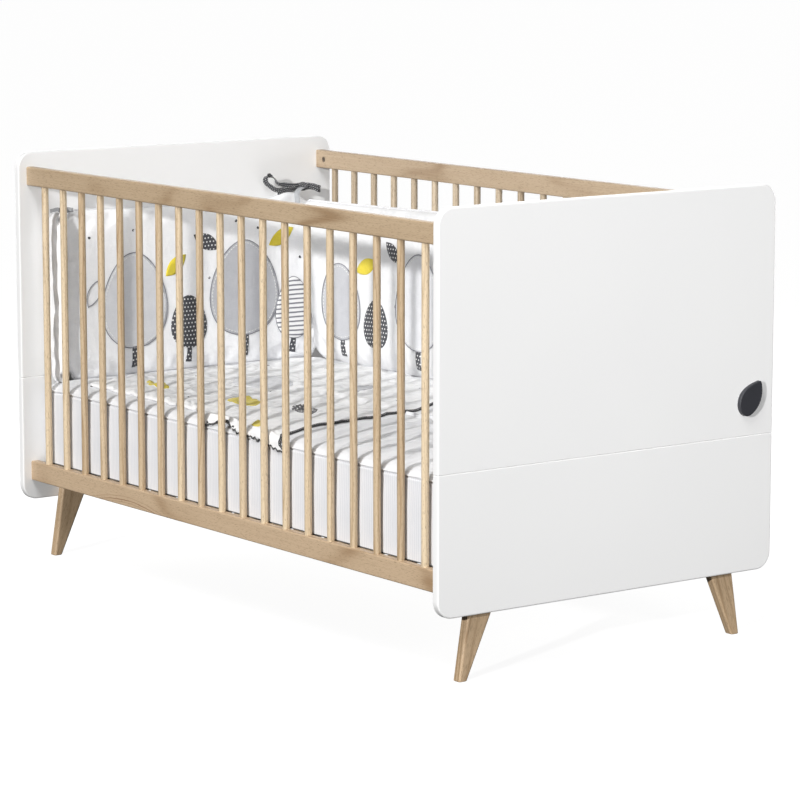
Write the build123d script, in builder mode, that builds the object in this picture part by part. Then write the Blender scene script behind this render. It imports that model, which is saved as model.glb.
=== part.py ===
from build123d import *
import os

os.makedirs("parts", exist_ok=True)

# A baby crib for a 1400 x 700 mm mattress.
# +X points to the foot end, -Y is the front side, +Z is up.
# The origin is on the floor, under the middle of the crib. Millimetres.

# ---------------------------------------------------------------- driving dimensions
inner_length = 1404.0      # between the inner faces of the two ends
inner_width = 702.0        # between the inner faces of the two barred sides

board_t = 16.0             # end boards
board_width = 776.0
board_bottom = 121.0
board_top = 839.0
seam_z = 376.0             # joint between lower and upper board
board_corner_r = 32.0
board_edge_r = 3.0
seam_edge = 1.3

rail_t = 18.0              # side rails
rail_edge_r = 3.0
top_rail_z0, top_rail_z1 = 771.5, 809.5
low_rail_z0, low_rail_z1 = 161.5, 201.5

bar_d = 14.0               # upright bars
bar_count = 19
bar_pitch = 71.6
bar_socket = 12.0
socket_play = 0.1

leg_t = 20.0               # legs: tapered boards standing on the inner face of the ends
leg_top = 164.0
leg_foot_out, leg_foot_in = 328.0, 310.0
leg_121_out, leg_121_in = 308.5, 254.5
leg_edge_r = 4.5

cam_d, cam_depth, cam_back = 12.0, 13.0, 28.0
pin_d, pin_in_board = 6.0, 10.0
dowel_d = 8.0
insert_d, insert_len = 9.0, 12.0

bracket_y, bracket_w, bracket_t = 165.0, 40.0, 2.5
bracket_bolt_z = 148.0
base_lift = 250.0          # from the low to the high position of the base

plate_y, plate_w, plate_h, plate_t = 290.0, 30.0, 84.0, 3.0
plate_screw_z = (14.0, 31.0)

base_x, base_y = 697.0, 347.0
base_rail_t = 22.0
base_z0, base_z1 = 166.2, 192.0
slat_t, slat_w, slat_count, slat_pitch = 8.0, 60.0, 14, 99.0

mattress_x, mattress_y = 697.0, 347.0
mattress_z0, mattress_z1 = 200.4, 366.0
cover_t = 3.0

knob_proud = 8.0

# ---------------------------------------------------------------- derived places
x_in = inner_length / 2            # inner face of an end
x_out = x_in + board_t
y_in = inner_width / 2             # inner face of a side rail
y_mid = y_in + rail_t / 2          # bars, pins and dowels lie on this line
y_out = y_in + rail_t
top_mid = (top_rail_z0 + top_rail_z1) / 2
low_mid = (low_rail_z0 + low_rail_z1) / 2
dowel_drop = 12.0                  # dowels sit this far below the cam pins
leg_slope_out = (leg_foot_out - leg_121_out) / board_bottom
leg_slope_in = (leg_foot_in - leg_121_in) / board_bottom
leg_top_out = leg_foot_out - leg_slope_out * leg_top
leg_top_in = leg_foot_in - leg_slope_in * leg_top
leg_bolt_z = 143.0
leg_bolt_y = (262.0, 289.0)
seam_dowel_y = (-220.0, 0.0, 220.0)
knob_y, knob_z = 327.0, 443.0


def end_holes(end, upper):
    """Centres (y, z), diameters and depths of the blind holes in the inner face of one end board."""
    rail = top_mid if upper else low_mid
    holes = []
    for s in (-1, 1):
        holes.append((s * y_mid, rail, pin_d, pin_in_board))
        holes.append((s * y_mid, rail - dowel_drop, dowel_d + socket_play, 11.0))
        for dy in (-12.0, 12.0):
            z = bracket_bolt_z + (base_lift if upper else 0.0)
            holes.append((s * bracket_y + dy, z, insert_d, insert_len + 0.5))
        for dz in plate_screw_z:
            holes.append((s * plate_y, seam_z + (dz if upper else -dz), 3.5, 11.5))
        if not upper:
            for y in leg_bolt_y:
                holes.append((s * y, leg_bolt_z, insert_d, insert_len + 0.5))
    return holes


def end_board(end, upper):
    """One end board: rounded outer corners, soft edges, a fine chamfer along the seam."""
    x0 = x_in if end > 0 else -x_out
    inner_plane = Plane(
        origin=(end * x_in, 0, 0), x_dir=(0, 1, 0), z_dir=(-end, 0, 0)
    )
    with BuildPart() as board:
        with BuildSketch(Plane.YZ.offset(x0)):
            with Locations((0, (board_bottom + board_top) / 2)):
                RectangleRounded(board_width, board_top - board_bottom, board_corner_r)
        extrude(amount=board_t)
        fillet(
            board.edges().filter_by(Axis.X, reverse=True), board_edge_r
        )
        split(
            bisect_by=Plane.XY.offset(seam_z),
            keep=Keep.TOP if upper else Keep.BOTTOM,
        )
        seam_face = board.faces().sort_by(Axis.Z)[0 if upper else -1]
        chamfer(seam_face.edges(), seam_edge)
        # blind holes in the inner face; the plane's second axis runs up or down with its normal
        up = inner_plane.y_dir.Z
        for y, z, d, depth in end_holes(end, upper):
            with Locations(inner_plane):
                with Locations((y, up * z)):
                    Hole(radius=d / 2, depth=depth)
        # dowel holes in the seam face
        for y in seam_dowel_y:
            with Locations(
                Plane(
                    origin=(end * (x_in + board_t / 2), y, seam_z),
                    z_dir=(0, 0, -1 if upper else 1),
                )
            ):
                Hole(radius=(dowel_d + socket_play) / 2, depth=20.5)
        if upper and end > 0:
            # clearance hole for the knob's screw
            with Locations(inner_plane):
                with Locations((knob_y, up * knob_z)):
                    Hole(radius=2.1)
    return board.part


for end, end_name in ((-1, "head"), (1, "foot")):
    for upper, level in ((True, "upper"), (False, "lower")):
        board = end_board(end, upper)
        board.label = f"{end_name}_{level}_board"
        export_step(board, f"parts/{end_name}_{level}_board.step")


# ---------------------------------------------------------------- barred sides
bar_x = [(i - (bar_count - 1) / 2) * bar_pitch for i in range(bar_count)]


def side_rail(side, z0, z1, socket_up):
    """One long rail with its bar sockets, cam nut holes, pin bores and dowel holes."""
    mid = (z0 + z1) / 2
    inner = Plane(origin=(0, side * y_in, 0), x_dir=(1, 0, 0), z_dir=(0, -side, 0))
    with BuildPart() as rail:
        with BuildSketch(Plane.YZ.offset(-x_in)):
            with Locations((side * y_mid, mid)):
                RectangleRounded(rail_t, z1 - z0, rail_edge_r)
        extrude(amount=inner_length)
        # sockets for the bars
        with Locations(
            Plane(
                origin=(0, side * y_mid, z1 if socket_up else z0),
                x_dir=(1, 0, 0),
                z_dir=(0, 0, 1 if socket_up else -1),
            )
        ):
            with Locations(*[(x, 0) for x in bar_x]):
                Hole(radius=(bar_d + socket_play) / 2, depth=bar_socket)
        # cam nuts enter from the inner face
        up = inner.y_dir.Z
        with Locations(inner):
            for e in (-1, 1):
                with Locations((e * (x_in - cam_back), up * mid)):
                    Hole(radius=(cam_d + socket_play) / 2, depth=cam_depth)
        # pins and dowels enter from both ends
        for e in (-1, 1):
            with Locations(
                Plane(origin=(e * x_in, side * y_mid, mid), z_dir=(e, 0, 0))
            ):
                Hole(radius=pin_d / 2 + 0.3, depth=cam_back)
            with Locations(
                Plane(
                    origin=(e * x_in, side * y_mid, mid - dowel_drop), z_dir=(e, 0, 0)
                )
            ):
                Hole(radius=(dowel_d + socket_play) / 2, depth=20.0)
    return rail.part


def side_bars(side):
    """Nineteen turned bars with softly rounded ends, each standing in its two sockets."""
    z0 = low_rail_z1 - bar_socket
    z1 = top_rail_z0 + bar_socket
    with BuildPart() as bars:
        with Locations(*[(x, side * y_mid, z0) for x in bar_x]):
            Cylinder(
                bar_d / 2, z1 - z0, align=(Align.CENTER, Align.CENTER, Align.MIN)
            )
        chamfer(bars.edges().filter_by(GeomType.CIRCLE), 0.8)
    return bars.part


for side, side_name in ((-1, "front"), (1, "back")):
    top = side_rail(side, top_rail_z0, top_rail_z1, False)
    top.label = f"{side_name}_top_rail"
    export_step(top, f"parts/{side_name}_top_rail.step")
    low = side_rail(side, low_rail_z0, low_rail_z1, True)
    low.label = f"{side_name}_bottom_rail"
    export_step(low, f"parts/{side_name}_bottom_rail.step")
    bars = side_bars(side)
    bars.label = f"{side_name}_bars"
    export_step(bars, f"parts/{side_name}_bars.step")


# ---------------------------------------------------------------- legs
def leg(end, side):
    """A leg sawn from a board: broad at the top, narrow at the floor, leaning outwards."""
    with BuildPart() as one:
        with BuildSketch(Plane.YZ.offset(x_in - leg_t if end > 0 else -x_in)):
            with BuildLine():
                Polyline(
                    (side * leg_foot_out, 0),
                    (side * leg_foot_in, 0),
                    (side * leg_top_in, leg_top),
                    (side * leg_top_out, leg_top),
                    close=True,
                )
            make_face()
        extrude(amount=leg_t)
        long_edges = one.edges().filter_by(
            lambda e: abs((e @ 1).Z - (e @ 0).Z) > leg_top - 1
        )
        fillet(long_edges, leg_edge_r)
        foot_edges = one.faces().sort_by(Axis.Z)[0].edges()
        chamfer(foot_edges, 1.0)
        # counterbored bolt holes, entered from the side that faces the mattress base
        inner = Plane(
            origin=(end * (x_in - leg_t), 0, 0), x_dir=(0, 1, 0), z_dir=(-end, 0, 0)
        )
        up = inner.y_dir.Z
        with Locations(inner):
            with Locations(*[(side * y, up * leg_bolt_z) for y in leg_bolt_y]):
                CounterBoreHole(
                    radius=3.2, counter_bore_radius=6.3, counter_bore_depth=4.0
                )
    return one.part


for end, end_name in ((-1, "head"), (1, "foot")):
    for side, side_name in ((-1, "front"), (1, "back")):
        one = leg(end, side)
        one.label = f"{end_name}_{side_name}_leg"
        export_step(one, f"parts/{end_name}_{side_name}_leg.step")

# ---------------------------------------------------------------- knob
with BuildPart() as knob:
    with BuildSketch(Plane.YZ.offset(x_out)):
        with BuildLine():
            Spline(
                (352.0, 477.5),
                (355.5, 458.0),
                (350.5, 437.5),
                (337.0, 421.0),
                (320.0, 414.0),
                (306.0, 421.5),
                (300.8, 438.0),
                (306.0, 454.5),
                (325.0, 469.5),
                (352.0, 477.5),
            )
        make_face()
    extrude(amount=knob_proud)
    tip = knob.edges().filter_by(Axis.X)
    fillet(tip, 2.0)
    fillet(knob.faces().sort_by(Axis.X)[-1].edges(), 1.8)
    with Locations(
        Plane(origin=(x_out, knob_y, knob_z), z_dir=(-1, 0, 0))
    ):
        Hole(radius=2.0, depth=6.0)
knob.part.label = "drop_knob"
export_step(knob.part, "parts/drop_knob.step")

with BuildPart() as knob_screw:
    with BuildSketch(Plane.XZ.offset(-knob_y)):
        with BuildLine():
            Polyline(
                (x_in - 2.4, knob_z),
                (x_in - 2.4, knob_z + 4.0),
                (x_in, knob_z + 4.0),
                (x_in, knob_z + 2.0),
                (x_out + 5.0, knob_z + 2.0),
                (x_out + 5.0, knob_z),
                close=True,
            )
        make_face()
    revolve(axis=Axis((0, knob_y, knob_z), (1, 0, 0)))
knob_screw.part.label = "knob_screw"
export_step(knob_screw.part, "parts/knob_screw.step")

# ---------------------------------------------------------------- cam fittings and dowels
rail_ends = [
    (e, s, z) for e in (-1, 1) for s in (-1, 1) for z in (low_mid, top_mid)
]

with BuildPart() as cam_nuts:
    for e, s, z in rail_ends:
        face = Plane(
            origin=(e * (x_in - cam_back), s * (y_in + 0.4), z),
            x_dir=(1, 0, 0),
            z_dir=(0, s, 0),
        )
        with BuildSketch(face):
            Circle(cam_d / 2)
        extrude(amount=cam_depth - 0.6)
        # driver slot in the face
        with BuildSketch(face):
            Rectangle(8.0, 1.6, rotation=35)
        extrude(amount=1.6, mode=Mode.SUBTRACT)
        # bore that takes the pin's tip
        with BuildSketch(
            Plane(
                origin=(e * (x_in - cam_back + cam_d), s * y_mid, z), z_dir=(-e, 0, 0)
            )
        ):
            Circle(pin_d / 2 + 0.2)
        extrude(amount=cam_d + 1.0, mode=Mode.SUBTRACT)
cam_nuts.part.label = "cam_nuts"
export_step(cam_nuts.part, "parts/cam_nuts.step")

with BuildPart() as cam_pins:
    for e, s, z in rail_ends:
        with BuildSketch(
            Plane(origin=(e * (x_in + pin_in_board), s * y_mid, z), z_dir=(-e, 0, 0))
        ):
            Circle(pin_d / 2)
        extrude(amount=pin_in_board + cam_back - 0.6)
cam_pins.part.label = "cam_pins"
export_step(cam_pins.part, "parts/cam_pins.step")

with BuildPart() as rail_dowels:
    for e, s, z in rail_ends:
        with BuildSketch(
            Plane(
                origin=(e * (x_in + 11.0), s * y_mid, z - dowel_drop), z_dir=(-e, 0, 0)
            )
        ):
            Circle(dowel_d / 2)
        extrude(amount=30.5)
    chamfer(rail_dowels.edges().filter_by(GeomType.CIRCLE), 0.8)
rail_dowels.part.label = "rail_dowels"
export_step(rail_dowels.part, "parts/rail_dowels.step")

with BuildPart() as seam_dowels:
    for e in (-1, 1):
        for y in seam_dowel_y:
            with Locations((e * (x_in + board_t / 2), y, seam_z)):
                Cylinder(dowel_d / 2, 40.0)
    chamfer(seam_dowels.edges().filter_by(GeomType.CIRCLE), 0.8)
seam_dowels.part.label = "seam_dowels"
export_step(seam_dowels.part, "parts/seam_dowels.step")

# ---------------------------------------------------------------- joining plates across the seam
with BuildPart() as joining_plates:
    for e in (-1, 1):
        for s in (-1, 1):
            face = Plane(
                origin=(e * (x_in - plate_t), s * plate_y, seam_z),
                x_dir=(0, 1, 0),
                z_dir=(-e, 0, 0),
            )
            with BuildSketch(face):
                RectangleRounded(plate_w, plate_h, 6.0)
            extrude(amount=-plate_t)
            with Locations(face):
                with Locations(
                    *[(0, k * dz) for dz in plate_screw_z for k in (-1, 1)]
                ):
                    CounterSinkHole(radius=2.0, counter_sink_radius=4.0)
joining_plates.part.label = "joining_plates"
export_step(joining_plates.part, "parts/joining_plates.step")

with BuildPart() as plate_screws:
    for e in (-1, 1):
        for s in (-1, 1):
            for dz in plate_screw_z:
                for k in (-1, 1):
                    z = seam_z + k * dz
                    x_face = x_in - plate_t + 0.3
                    with BuildSketch(Plane.XZ.offset(-s * plate_y)):
                        with BuildLine():
                            Polyline(
                                (e * x_face, z),
                                (e * x_face, z + 3.6),
                                (e * (x_face + 1.85), z + 1.75),
                                (e * (x_face + 13.0), z + 1.75),
                                (e * (x_face + 13.8), z + 0.9),
                                (e * (x_face + 13.8), z),
                                close=True,
                            )
                        make_face()
                    revolve(axis=Axis((0, s * plate_y, z), (1, 0, 0)))
plate_screws.part.label = "plate_screws"
export_step(plate_screws.part, "parts/plate_screws.step")


# ---------------------------------------------------------------- bolts and inserts
def bolt_group(spots, head_r, head_h, shank):
    """Button-head bolts: each spot is (end, x of the head's seat, y, z)."""
    with BuildPart() as group:
        for e, x, y, z in spots:
            with BuildSketch(Plane.XZ.offset(-y)):
                with BuildLine():
                    Polyline(
                        (e * (x - head_h), z),
                        (e * (x - head_h), z + head_r - 1.2),
                        (e * (x - head_h + 1.2), z + head_r),
                        (e * x, z + head_r),
                        (e * x, z + 2.9),
                        (e * (x + shank), z + 2.9),
                        (e * (x + shank), z),
                        close=True,
                    )
                make_face()
            revolve(axis=Axis((0, y, z), (1, 0, 0)))
    return group.part


def insert_group(spots):
    """Threaded sleeves let into the end boards, flush with the inner face."""
    with BuildPart() as group:
        for e, y, z in spots:
            with BuildSketch(
                Plane(origin=(e * x_in, y, z), x_dir=(0, 1, 0), z_dir=(e, 0, 0))
            ):
                Circle(insert_d / 2 - 0.05)
                Circle(3.0, mode=Mode.SUBTRACT)
            extrude(amount=insert_len)
    return group.part


leg_spots = [
    (e, s * y, leg_bolt_z) for e in (-1, 1) for s in (-1, 1) for y in leg_bolt_y
]
leg_bolts = bolt_group(
    [(e, x_in - leg_t + 4.0, y, z) for e, y, z in leg_spots], 6.0, 3.4, 27.0
)
leg_bolts.label = "leg_bolts"
export_step(leg_bolts, "parts/leg_bolts.step")
leg_inserts = insert_group(leg_spots)
leg_inserts.label = "leg_inserts"
export_step(leg_inserts, "parts/leg_inserts.step")

low_spots = [
    (e, s * bracket_y + dy, bracket_bolt_z)
    for e in (-1, 1)
    for s in (-1, 1)
    for dy in (-12.0, 12.0)
]
high_spots = [(e, y, z + base_lift) for e, y, z in low_spots]
base_inserts = insert_group(low_spots + high_spots)
base_inserts.label = "base_inserts"
export_step(base_inserts, "parts/base_inserts.step")

bracket_bolts = bolt_group(
    [(e, x_in - bracket_t, y, z) for e, y, z in low_spots], 5.5, 3.0, 13.5
)
bracket_bolts.label = "bracket_bolts"
export_step(bracket_bolts, "parts/bracket_bolts.step")

# ---------------------------------------------------------------- angle brackets under the base
with BuildPart() as brackets:
    for e in (-1, 1):
        for s in (-1, 1):
            with BuildSketch(Plane.XZ.offset(-s * bracket_y)):
                with BuildLine():
                    Polyline(
                        (e * x_in, 132.0),
                        (e * x_in, 165.8),
                        (e * (x_in - 26.0), 165.8),
                        (e * (x_in - 26.0), 165.8 - bracket_t),
                        (e * (x_in - bracket_t), 165.8 - bracket_t),
                        (e * (x_in - bracket_t), 132.0),
                        close=True,
                    )
                make_face()
            extrude(amount=bracket_w / 2, both=True)
            with Locations(
                Plane(
                    origin=(e * (x_in - bracket_t), s * bracket_y, bracket_bolt_z),
                    x_dir=(0, 1, 0),
                    z_dir=(-e, 0, 0),
                )
            ):
                with Locations((-12.0, 0), (12.0, 0)):
                    Hole(radius=3.1, depth=bracket_t)
brackets.part.label = "base_brackets"
export_step(brackets.part, "parts/base_brackets.step")

# ---------------------------------------------------------------- slatted base
slat_x = [(i - (slat_count - 1) / 2) * slat_pitch for i in range(slat_count)]
base_mid = (base_z0 + base_z1) / 2
screw_y = base_y - base_rail_t / 2

for s, side_name in ((-1, "front"), (1, "back")):
    with BuildPart() as base_side:
        with BuildSketch(Plane.YZ.offset(-base_x)):
            with Locations((s * screw_y, base_mid)):
                RectangleRounded(base_rail_t, base_z1 - base_z0, 1.5)
        extrude(amount=2 * base_x)
        with Locations(Plane.XY.offset(base_z1)):
            with Locations(*[(x, s * screw_y) for x in slat_x]):
                Hole(radius=1.5, depth=17.0)
        # corner screw holes, entered from the outer face
        with Locations(
            Plane(
                origin=(0, s * base_y, base_mid), x_dir=(1, 0, 0), z_dir=(0, s, 0)
            )
        ):
            with Locations(
                (-(base_x - base_rail_t / 2), 0), (base_x - base_rail_t / 2, 0)
            ):
                CounterBoreHole(
                    radius=2.6, counter_bore_radius=5.2, counter_bore_depth=4.0
                )
    base_side.part.label = f"base_{side_name}_rail"
    export_step(base_side.part, f"parts/base_{side_name}_rail.step")

for e, end_name in ((-1, "head"), (1, "foot")):
    with BuildPart() as base_end:
        with BuildSketch(Plane.XZ.offset(-(base_y - base_rail_t))):
            with Locations((e * (base_x - base_rail_t / 2), base_mid)):
                RectangleRounded(base_rail_t, base_z1 - base_z0, 1.5)
        extrude(amount=2 * (base_y - base_rail_t))
        for s in (-1, 1):
            with Locations(
                Plane(
                    origin=(
                        e * (base_x - base_rail_t / 2),
                        s * (base_y - base_rail_t),
                        base_mid,
                    ),
                    z_dir=(0, s, 0),
                )
            ):
                Hole(radius=2.5, depth=34.0)
    base_end.part.label = f"base_{end_name}_rail"
    export_step(base_end.part, f"parts/base_{end_name}_rail.step")

with BuildPart() as base_centre:
    with BuildSketch(Plane.YZ.offset(-(base_x - base_rail_t))):
        with Locations((0, base_mid)):
            RectangleRounded(30.0, base_z1 - base_z0, 1.5)
    extrude(amount=2 * (base_x - base_rail_t))
base_centre.part.label = "base_centre_rail"
export_step(base_centre.part, "parts/base_centre_rail.step")

with BuildPart() as slats:
    for x in slat_x:
        with BuildSketch(Plane.XZ.offset(-base_y)):
            with Locations((x, base_z1 + slat_t / 2)):
                RectangleRounded(slat_w, slat_t, 1.5)
        extrude(amount=2 * base_y)
    with Locations(Plane.XY.offset(base_z1 + slat_t)):
        with Locations(*[(x, s * screw_y) for x in slat_x for s in (-1, 1)]):
            CounterSinkHole(
                radius=1.8, counter_sink_radius=3.6, depth=slat_t
            )
slats.part.label = "base_slats"
export_step(slats.part, "parts/base_slats.step")

with BuildPart() as slat_screw_one:
    with BuildSketch(Plane.XZ):
        with BuildLine():
            Polyline(
                (0, 0), (3.3, 0), (1.45, -1.85), (1.45, -23.0), (0.6, -24.2), (0, -24.2),
                close=True,
            )
        make_face()
    revolve(axis=Axis.Z)
with BuildPart() as slat_screw_set:
    with Locations(
        *[
            (x, s * screw_y, base_z1 + slat_t - 0.3)
            for x in slat_x
            for s in (-1, 1)
        ]
    ):
        add(slat_screw_one.part)
slat_screw_set.part.label = "slat_screws"
export_step(slat_screw_set.part, "parts/slat_screws.step")

with BuildPart() as corner_screws:
    for e in (-1, 1):
        for s in (-1, 1):
            x = e * (base_x - base_rail_t / 2)
            y0 = base_y - 4.0
            with BuildSketch(Plane.XY.offset(base_mid)):
                with BuildLine():
                    Polyline(
                        (x, s * (y0 + 3.4)),
                        (x + 5.0, s * (y0 + 3.4)),
                        (x + 5.0, s * y0),
                        (x + 2.4, s * y0),
                        (x + 2.4, s * (y0 - 46.0)),
                        (x, s * (y0 - 48.0)),
                        close=True,
                    )
                make_face()
            revolve(axis=Axis((x, 0, base_mid), (0, 1, 0)))
corner_screws.part.label = "base_corner_screws"
export_step(corner_screws.part, "parts/base_corner_screws.step")

# ---------------------------------------------------------------- mattress
def cushion_block(inset):
    """A block with the mattress's rounded outline, drawn in from its outside by an inset."""
    with BuildPart() as block:
        with BuildSketch(Plane.XY.offset(mattress_z0 + inset)):
            RectangleRounded(
                2 * (mattress_x - inset), 2 * (mattress_y - inset), 32.0 - inset
            )
        extrude(amount=mattress_z1 - mattress_z0 - 2 * inset)
        fillet(block.faces().sort_by(Axis.Z)[-1].edges(), 22.0 - inset)
        fillet(block.faces().sort_by(Axis.Z)[0].edges(), 10.0 - inset)
    return block.part


mattress_core = cushion_block(cover_t + 0.4)
mattress_core.label = "mattress_core"
export_step(mattress_core, "parts/mattress_core.step")

cover_outside = cushion_block(0.0)
cover_inside = cushion_block(cover_t)
with BuildPart() as mattress_cover:
    add(cover_outside)
    add(cover_inside, mode=Mode.SUBTRACT)
mattress_cover.part.label = "mattress_cover"
export_step(mattress_cover.part, "parts/mattress_cover.step")

# ---------------------------------------------------------------- bedding: plain soft bodies
quilt_z0, quilt_z1 = 367.0, 383.0
with BuildPart() as quilt:
    with BuildSketch(Plane.XY.offset(quilt_z0)) as quilt_outline:
        with BuildLine():
            Polyline(
                (-570.0, -338.0),
                (200.0, -338.0),
                (40.0, 290.0),
                (-570.0, 290.0),
                close=True,
            )
        make_face()
        fillet(quilt_outline.vertices(), 20.0)
    extrude(amount=quilt_z1 - quilt_z0)
    fillet(quilt.faces().sort_by(Axis.Z)[-1].edges(), 6.0)
quilt.part.label = "quilt"
export_step(quilt.part, "parts/quilt.step")

pad_z0, pad_z1 = 367.5, 714.0


def pad(x0, x1, y0, y1, z0, z1, r):
    """A plain padded panel standing on the mattress."""
    with BuildPart() as body:
        with BuildSketch(Plane.XY.offset(z0)):
            with Locations(((x0 + x1) / 2, (y0 + y1) / 2)):
                RectangleRounded(x1 - x0, y1 - y0, r)
        extrude(amount=z1 - z0)
        fillet(body.faces().sort_by(Axis.Z)[-1].edges(), r * 0.8)
    return body.part


bumper_head = pad(-697.0, -659.0, -300.0, 338.0, pad_z0, pad_z1 + 4.0, 14.0)
bumper_head.label = "bumper_head"
export_step(bumper_head, "parts/bumper_head.step")

bumper_back = pad(-656.0, 320.0, 300.0, 340.0, pad_z0, pad_z1 - 4.0, 14.0)
bumper_back.label = "bumper_back"
export_step(bumper_back, "parts/bumper_back.step")

bumper_front = pad(-691.0, -640.0, -334.0, -304.0, pad_z0, pad_z1, 12.0)
bumper_front.label = "bumper_front"
export_step(bumper_front, "parts/bumper_front.step")

# ribbon ties: a bow over the back corner, a short tie at the front corner
with BuildPart() as ties:
    with Locations((-668.0, 301.0, 727.0)):
        Box(22.0, 18.0, 14.0)
    with Locations((-676.0, 248.0, 738.0)):
        Box(18.0, 90.0, 20.0)
    with Locations((-634.0, 318.0, 727.0)):
        Box(50.0, 24.0, 14.0)
    with Locations((-672.0, -306.0, 723.5)):
        Box(28.0, 24.0, 8.0)
ties.part.label = "bumper_ties"
export_step(ties.part, "parts/bumper_ties.step")
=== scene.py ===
import math

import bpy
import numpy as np
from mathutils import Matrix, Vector
from mathutils import noise as mnoise
from mathutils.geometry import delaunay_2d_cdt


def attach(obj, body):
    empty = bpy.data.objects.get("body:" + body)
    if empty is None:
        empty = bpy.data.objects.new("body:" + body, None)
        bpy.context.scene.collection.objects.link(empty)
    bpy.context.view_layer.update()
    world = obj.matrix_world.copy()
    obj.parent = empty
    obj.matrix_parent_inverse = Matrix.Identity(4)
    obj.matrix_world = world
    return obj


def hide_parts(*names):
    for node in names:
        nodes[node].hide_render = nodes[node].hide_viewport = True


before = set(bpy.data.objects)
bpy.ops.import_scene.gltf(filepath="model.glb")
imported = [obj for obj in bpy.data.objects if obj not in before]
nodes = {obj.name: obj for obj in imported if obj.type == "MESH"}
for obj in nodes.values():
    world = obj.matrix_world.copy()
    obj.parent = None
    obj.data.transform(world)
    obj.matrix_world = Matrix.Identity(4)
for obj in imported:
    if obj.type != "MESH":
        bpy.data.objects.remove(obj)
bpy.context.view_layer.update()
scene = bpy.context.scene
TAU = 2 * math.pi


def lin(r, g, b):
    """A display colour, 0 to 255, as the linear colour that shaders take."""
    def f(c):
        c /= 255.0
        return c / 12.92 if c <= 0.04045 else ((c + 0.055) / 1.055) ** 2.4
    return (f(r), f(g), f(b), 1.0)


# ------------------------------------------------------------------ camera
cam_data = bpy.data.cameras.new("camera")
cam_data.sensor_width = 36.0
cam_data.lens = 152.94
cam_data.clip_start, cam_data.clip_end = 0.1, 400.0
cam = bpy.data.objects.new("camera", cam_data)
scene.collection.objects.link(cam)
yaw, pitch = math.radians(143.652), math.radians(-8.881)
look = Vector((math.cos(pitch) * math.cos(yaw), math.cos(pitch) * math.sin(yaw), math.sin(pitch)))
cam.location = (5.3181, -3.8540, 1.4090)
cam.rotation_euler = look.to_track_quat("-Z", "Y").to_euler()
scene.camera = cam


# ------------------------------------------------------------------ materials
class Shade:
    """One material and short ways to add nodes to it. Numbers or sockets go in, sockets come out."""

    def __init__(self, name):
        self.mat = bpy.data.materials.new(name)
        self.mat.use_nodes = True
        self.tree = self.mat.node_tree
        self.tree.nodes.clear()
        self.out = self.tree.nodes.new("ShaderNodeOutputMaterial")
        self.bsdf = self.tree.nodes.new("ShaderNodeBsdfPrincipled")
        self.tree.links.new(self.bsdf.outputs[0], self.out.inputs[0])
        self._co = None

    def put(self, socket, value):
        if isinstance(value, bpy.types.NodeSocket):
            self.tree.links.new(value, socket)
        elif value is not None:
            socket.default_value = value

    def set(self, **values):
        for key, value in values.items():
            self.put(self.bsdf.inputs[key.replace("_", " ")], value)
        return self

    def co(self, which="Object"):
        if self._co is None:
            self._co = self.tree.nodes.new("ShaderNodeTexCoord")
        return self._co.outputs[which]

    def xyz(self, vector=None):
        n = self.tree.nodes.new("ShaderNodeSeparateXYZ")
        self.put(n.inputs[0], vector if vector is not None else self.co())
        return n.outputs[0], n.outputs[1], n.outputs[2]

    def vec(self, x, y, z):
        n = self.tree.nodes.new("ShaderNodeCombineXYZ")
        for s, v in zip(n.inputs, (x, y, z)):
            self.put(s, v)
        return n.outputs[0]

    def m(self, op, a, b=None, c=None, clamp=False):
        n = self.tree.nodes.new("ShaderNodeMath")
        n.operation = op
        n.use_clamp = clamp
        for s, v in zip(n.inputs, (a, b, c)):
            self.put(s, v)
        return n.outputs[0]

    def noise(self, vector, scale=1.0, detail=2.0, rough=0.5, warp=0.0):
        n = self.tree.nodes.new("ShaderNodeTexNoise")
        self.put(n.inputs["Vector"], vector)
        n.inputs["Scale"].default_value = scale
        n.inputs["Detail"].default_value = detail
        n.inputs["Roughness"].default_value = rough
        n.inputs["Distortion"].default_value = warp
        return n.outputs[0]

    def white(self, w):
        n = self.tree.nodes.new("ShaderNodeTexWhiteNoise")
        n.noise_dimensions = "1D"
        self.put(n.inputs["W"], w)
        return n.outputs[0]

    def span(self, value, a, b, c=0.0, d=1.0, smooth=True):
        n = self.tree.nodes.new("ShaderNodeMapRange")
        n.interpolation_type = "SMOOTHSTEP" if smooth else "LINEAR"
        self.put(n.inputs[0], value)
        for s, v in zip(n.inputs[1:5], (a, b, c, d)):
            self.put(s, v)
        return n.outputs[0]

    def mix(self, fac, a, b, blend="MIX"):
        n = self.tree.nodes.new("ShaderNodeMix")
        n.data_type = "RGBA"
        n.blend_type = blend
        self.put(n.inputs[0], fac)
        self.put(n.inputs[6], a)
        self.put(n.inputs[7], b)
        return n.outputs[2]

    def bump(self, height, strength, distance, normal=None):
        n = self.tree.nodes.new("ShaderNodeBump")
        n.inputs["Strength"].default_value = strength
        n.inputs["Distance"].default_value = distance
        self.put(n.inputs["Height"], height)
        if normal is not None:
            self.put(n.inputs["Normal"], normal)
        return n.outputs[0]


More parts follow.
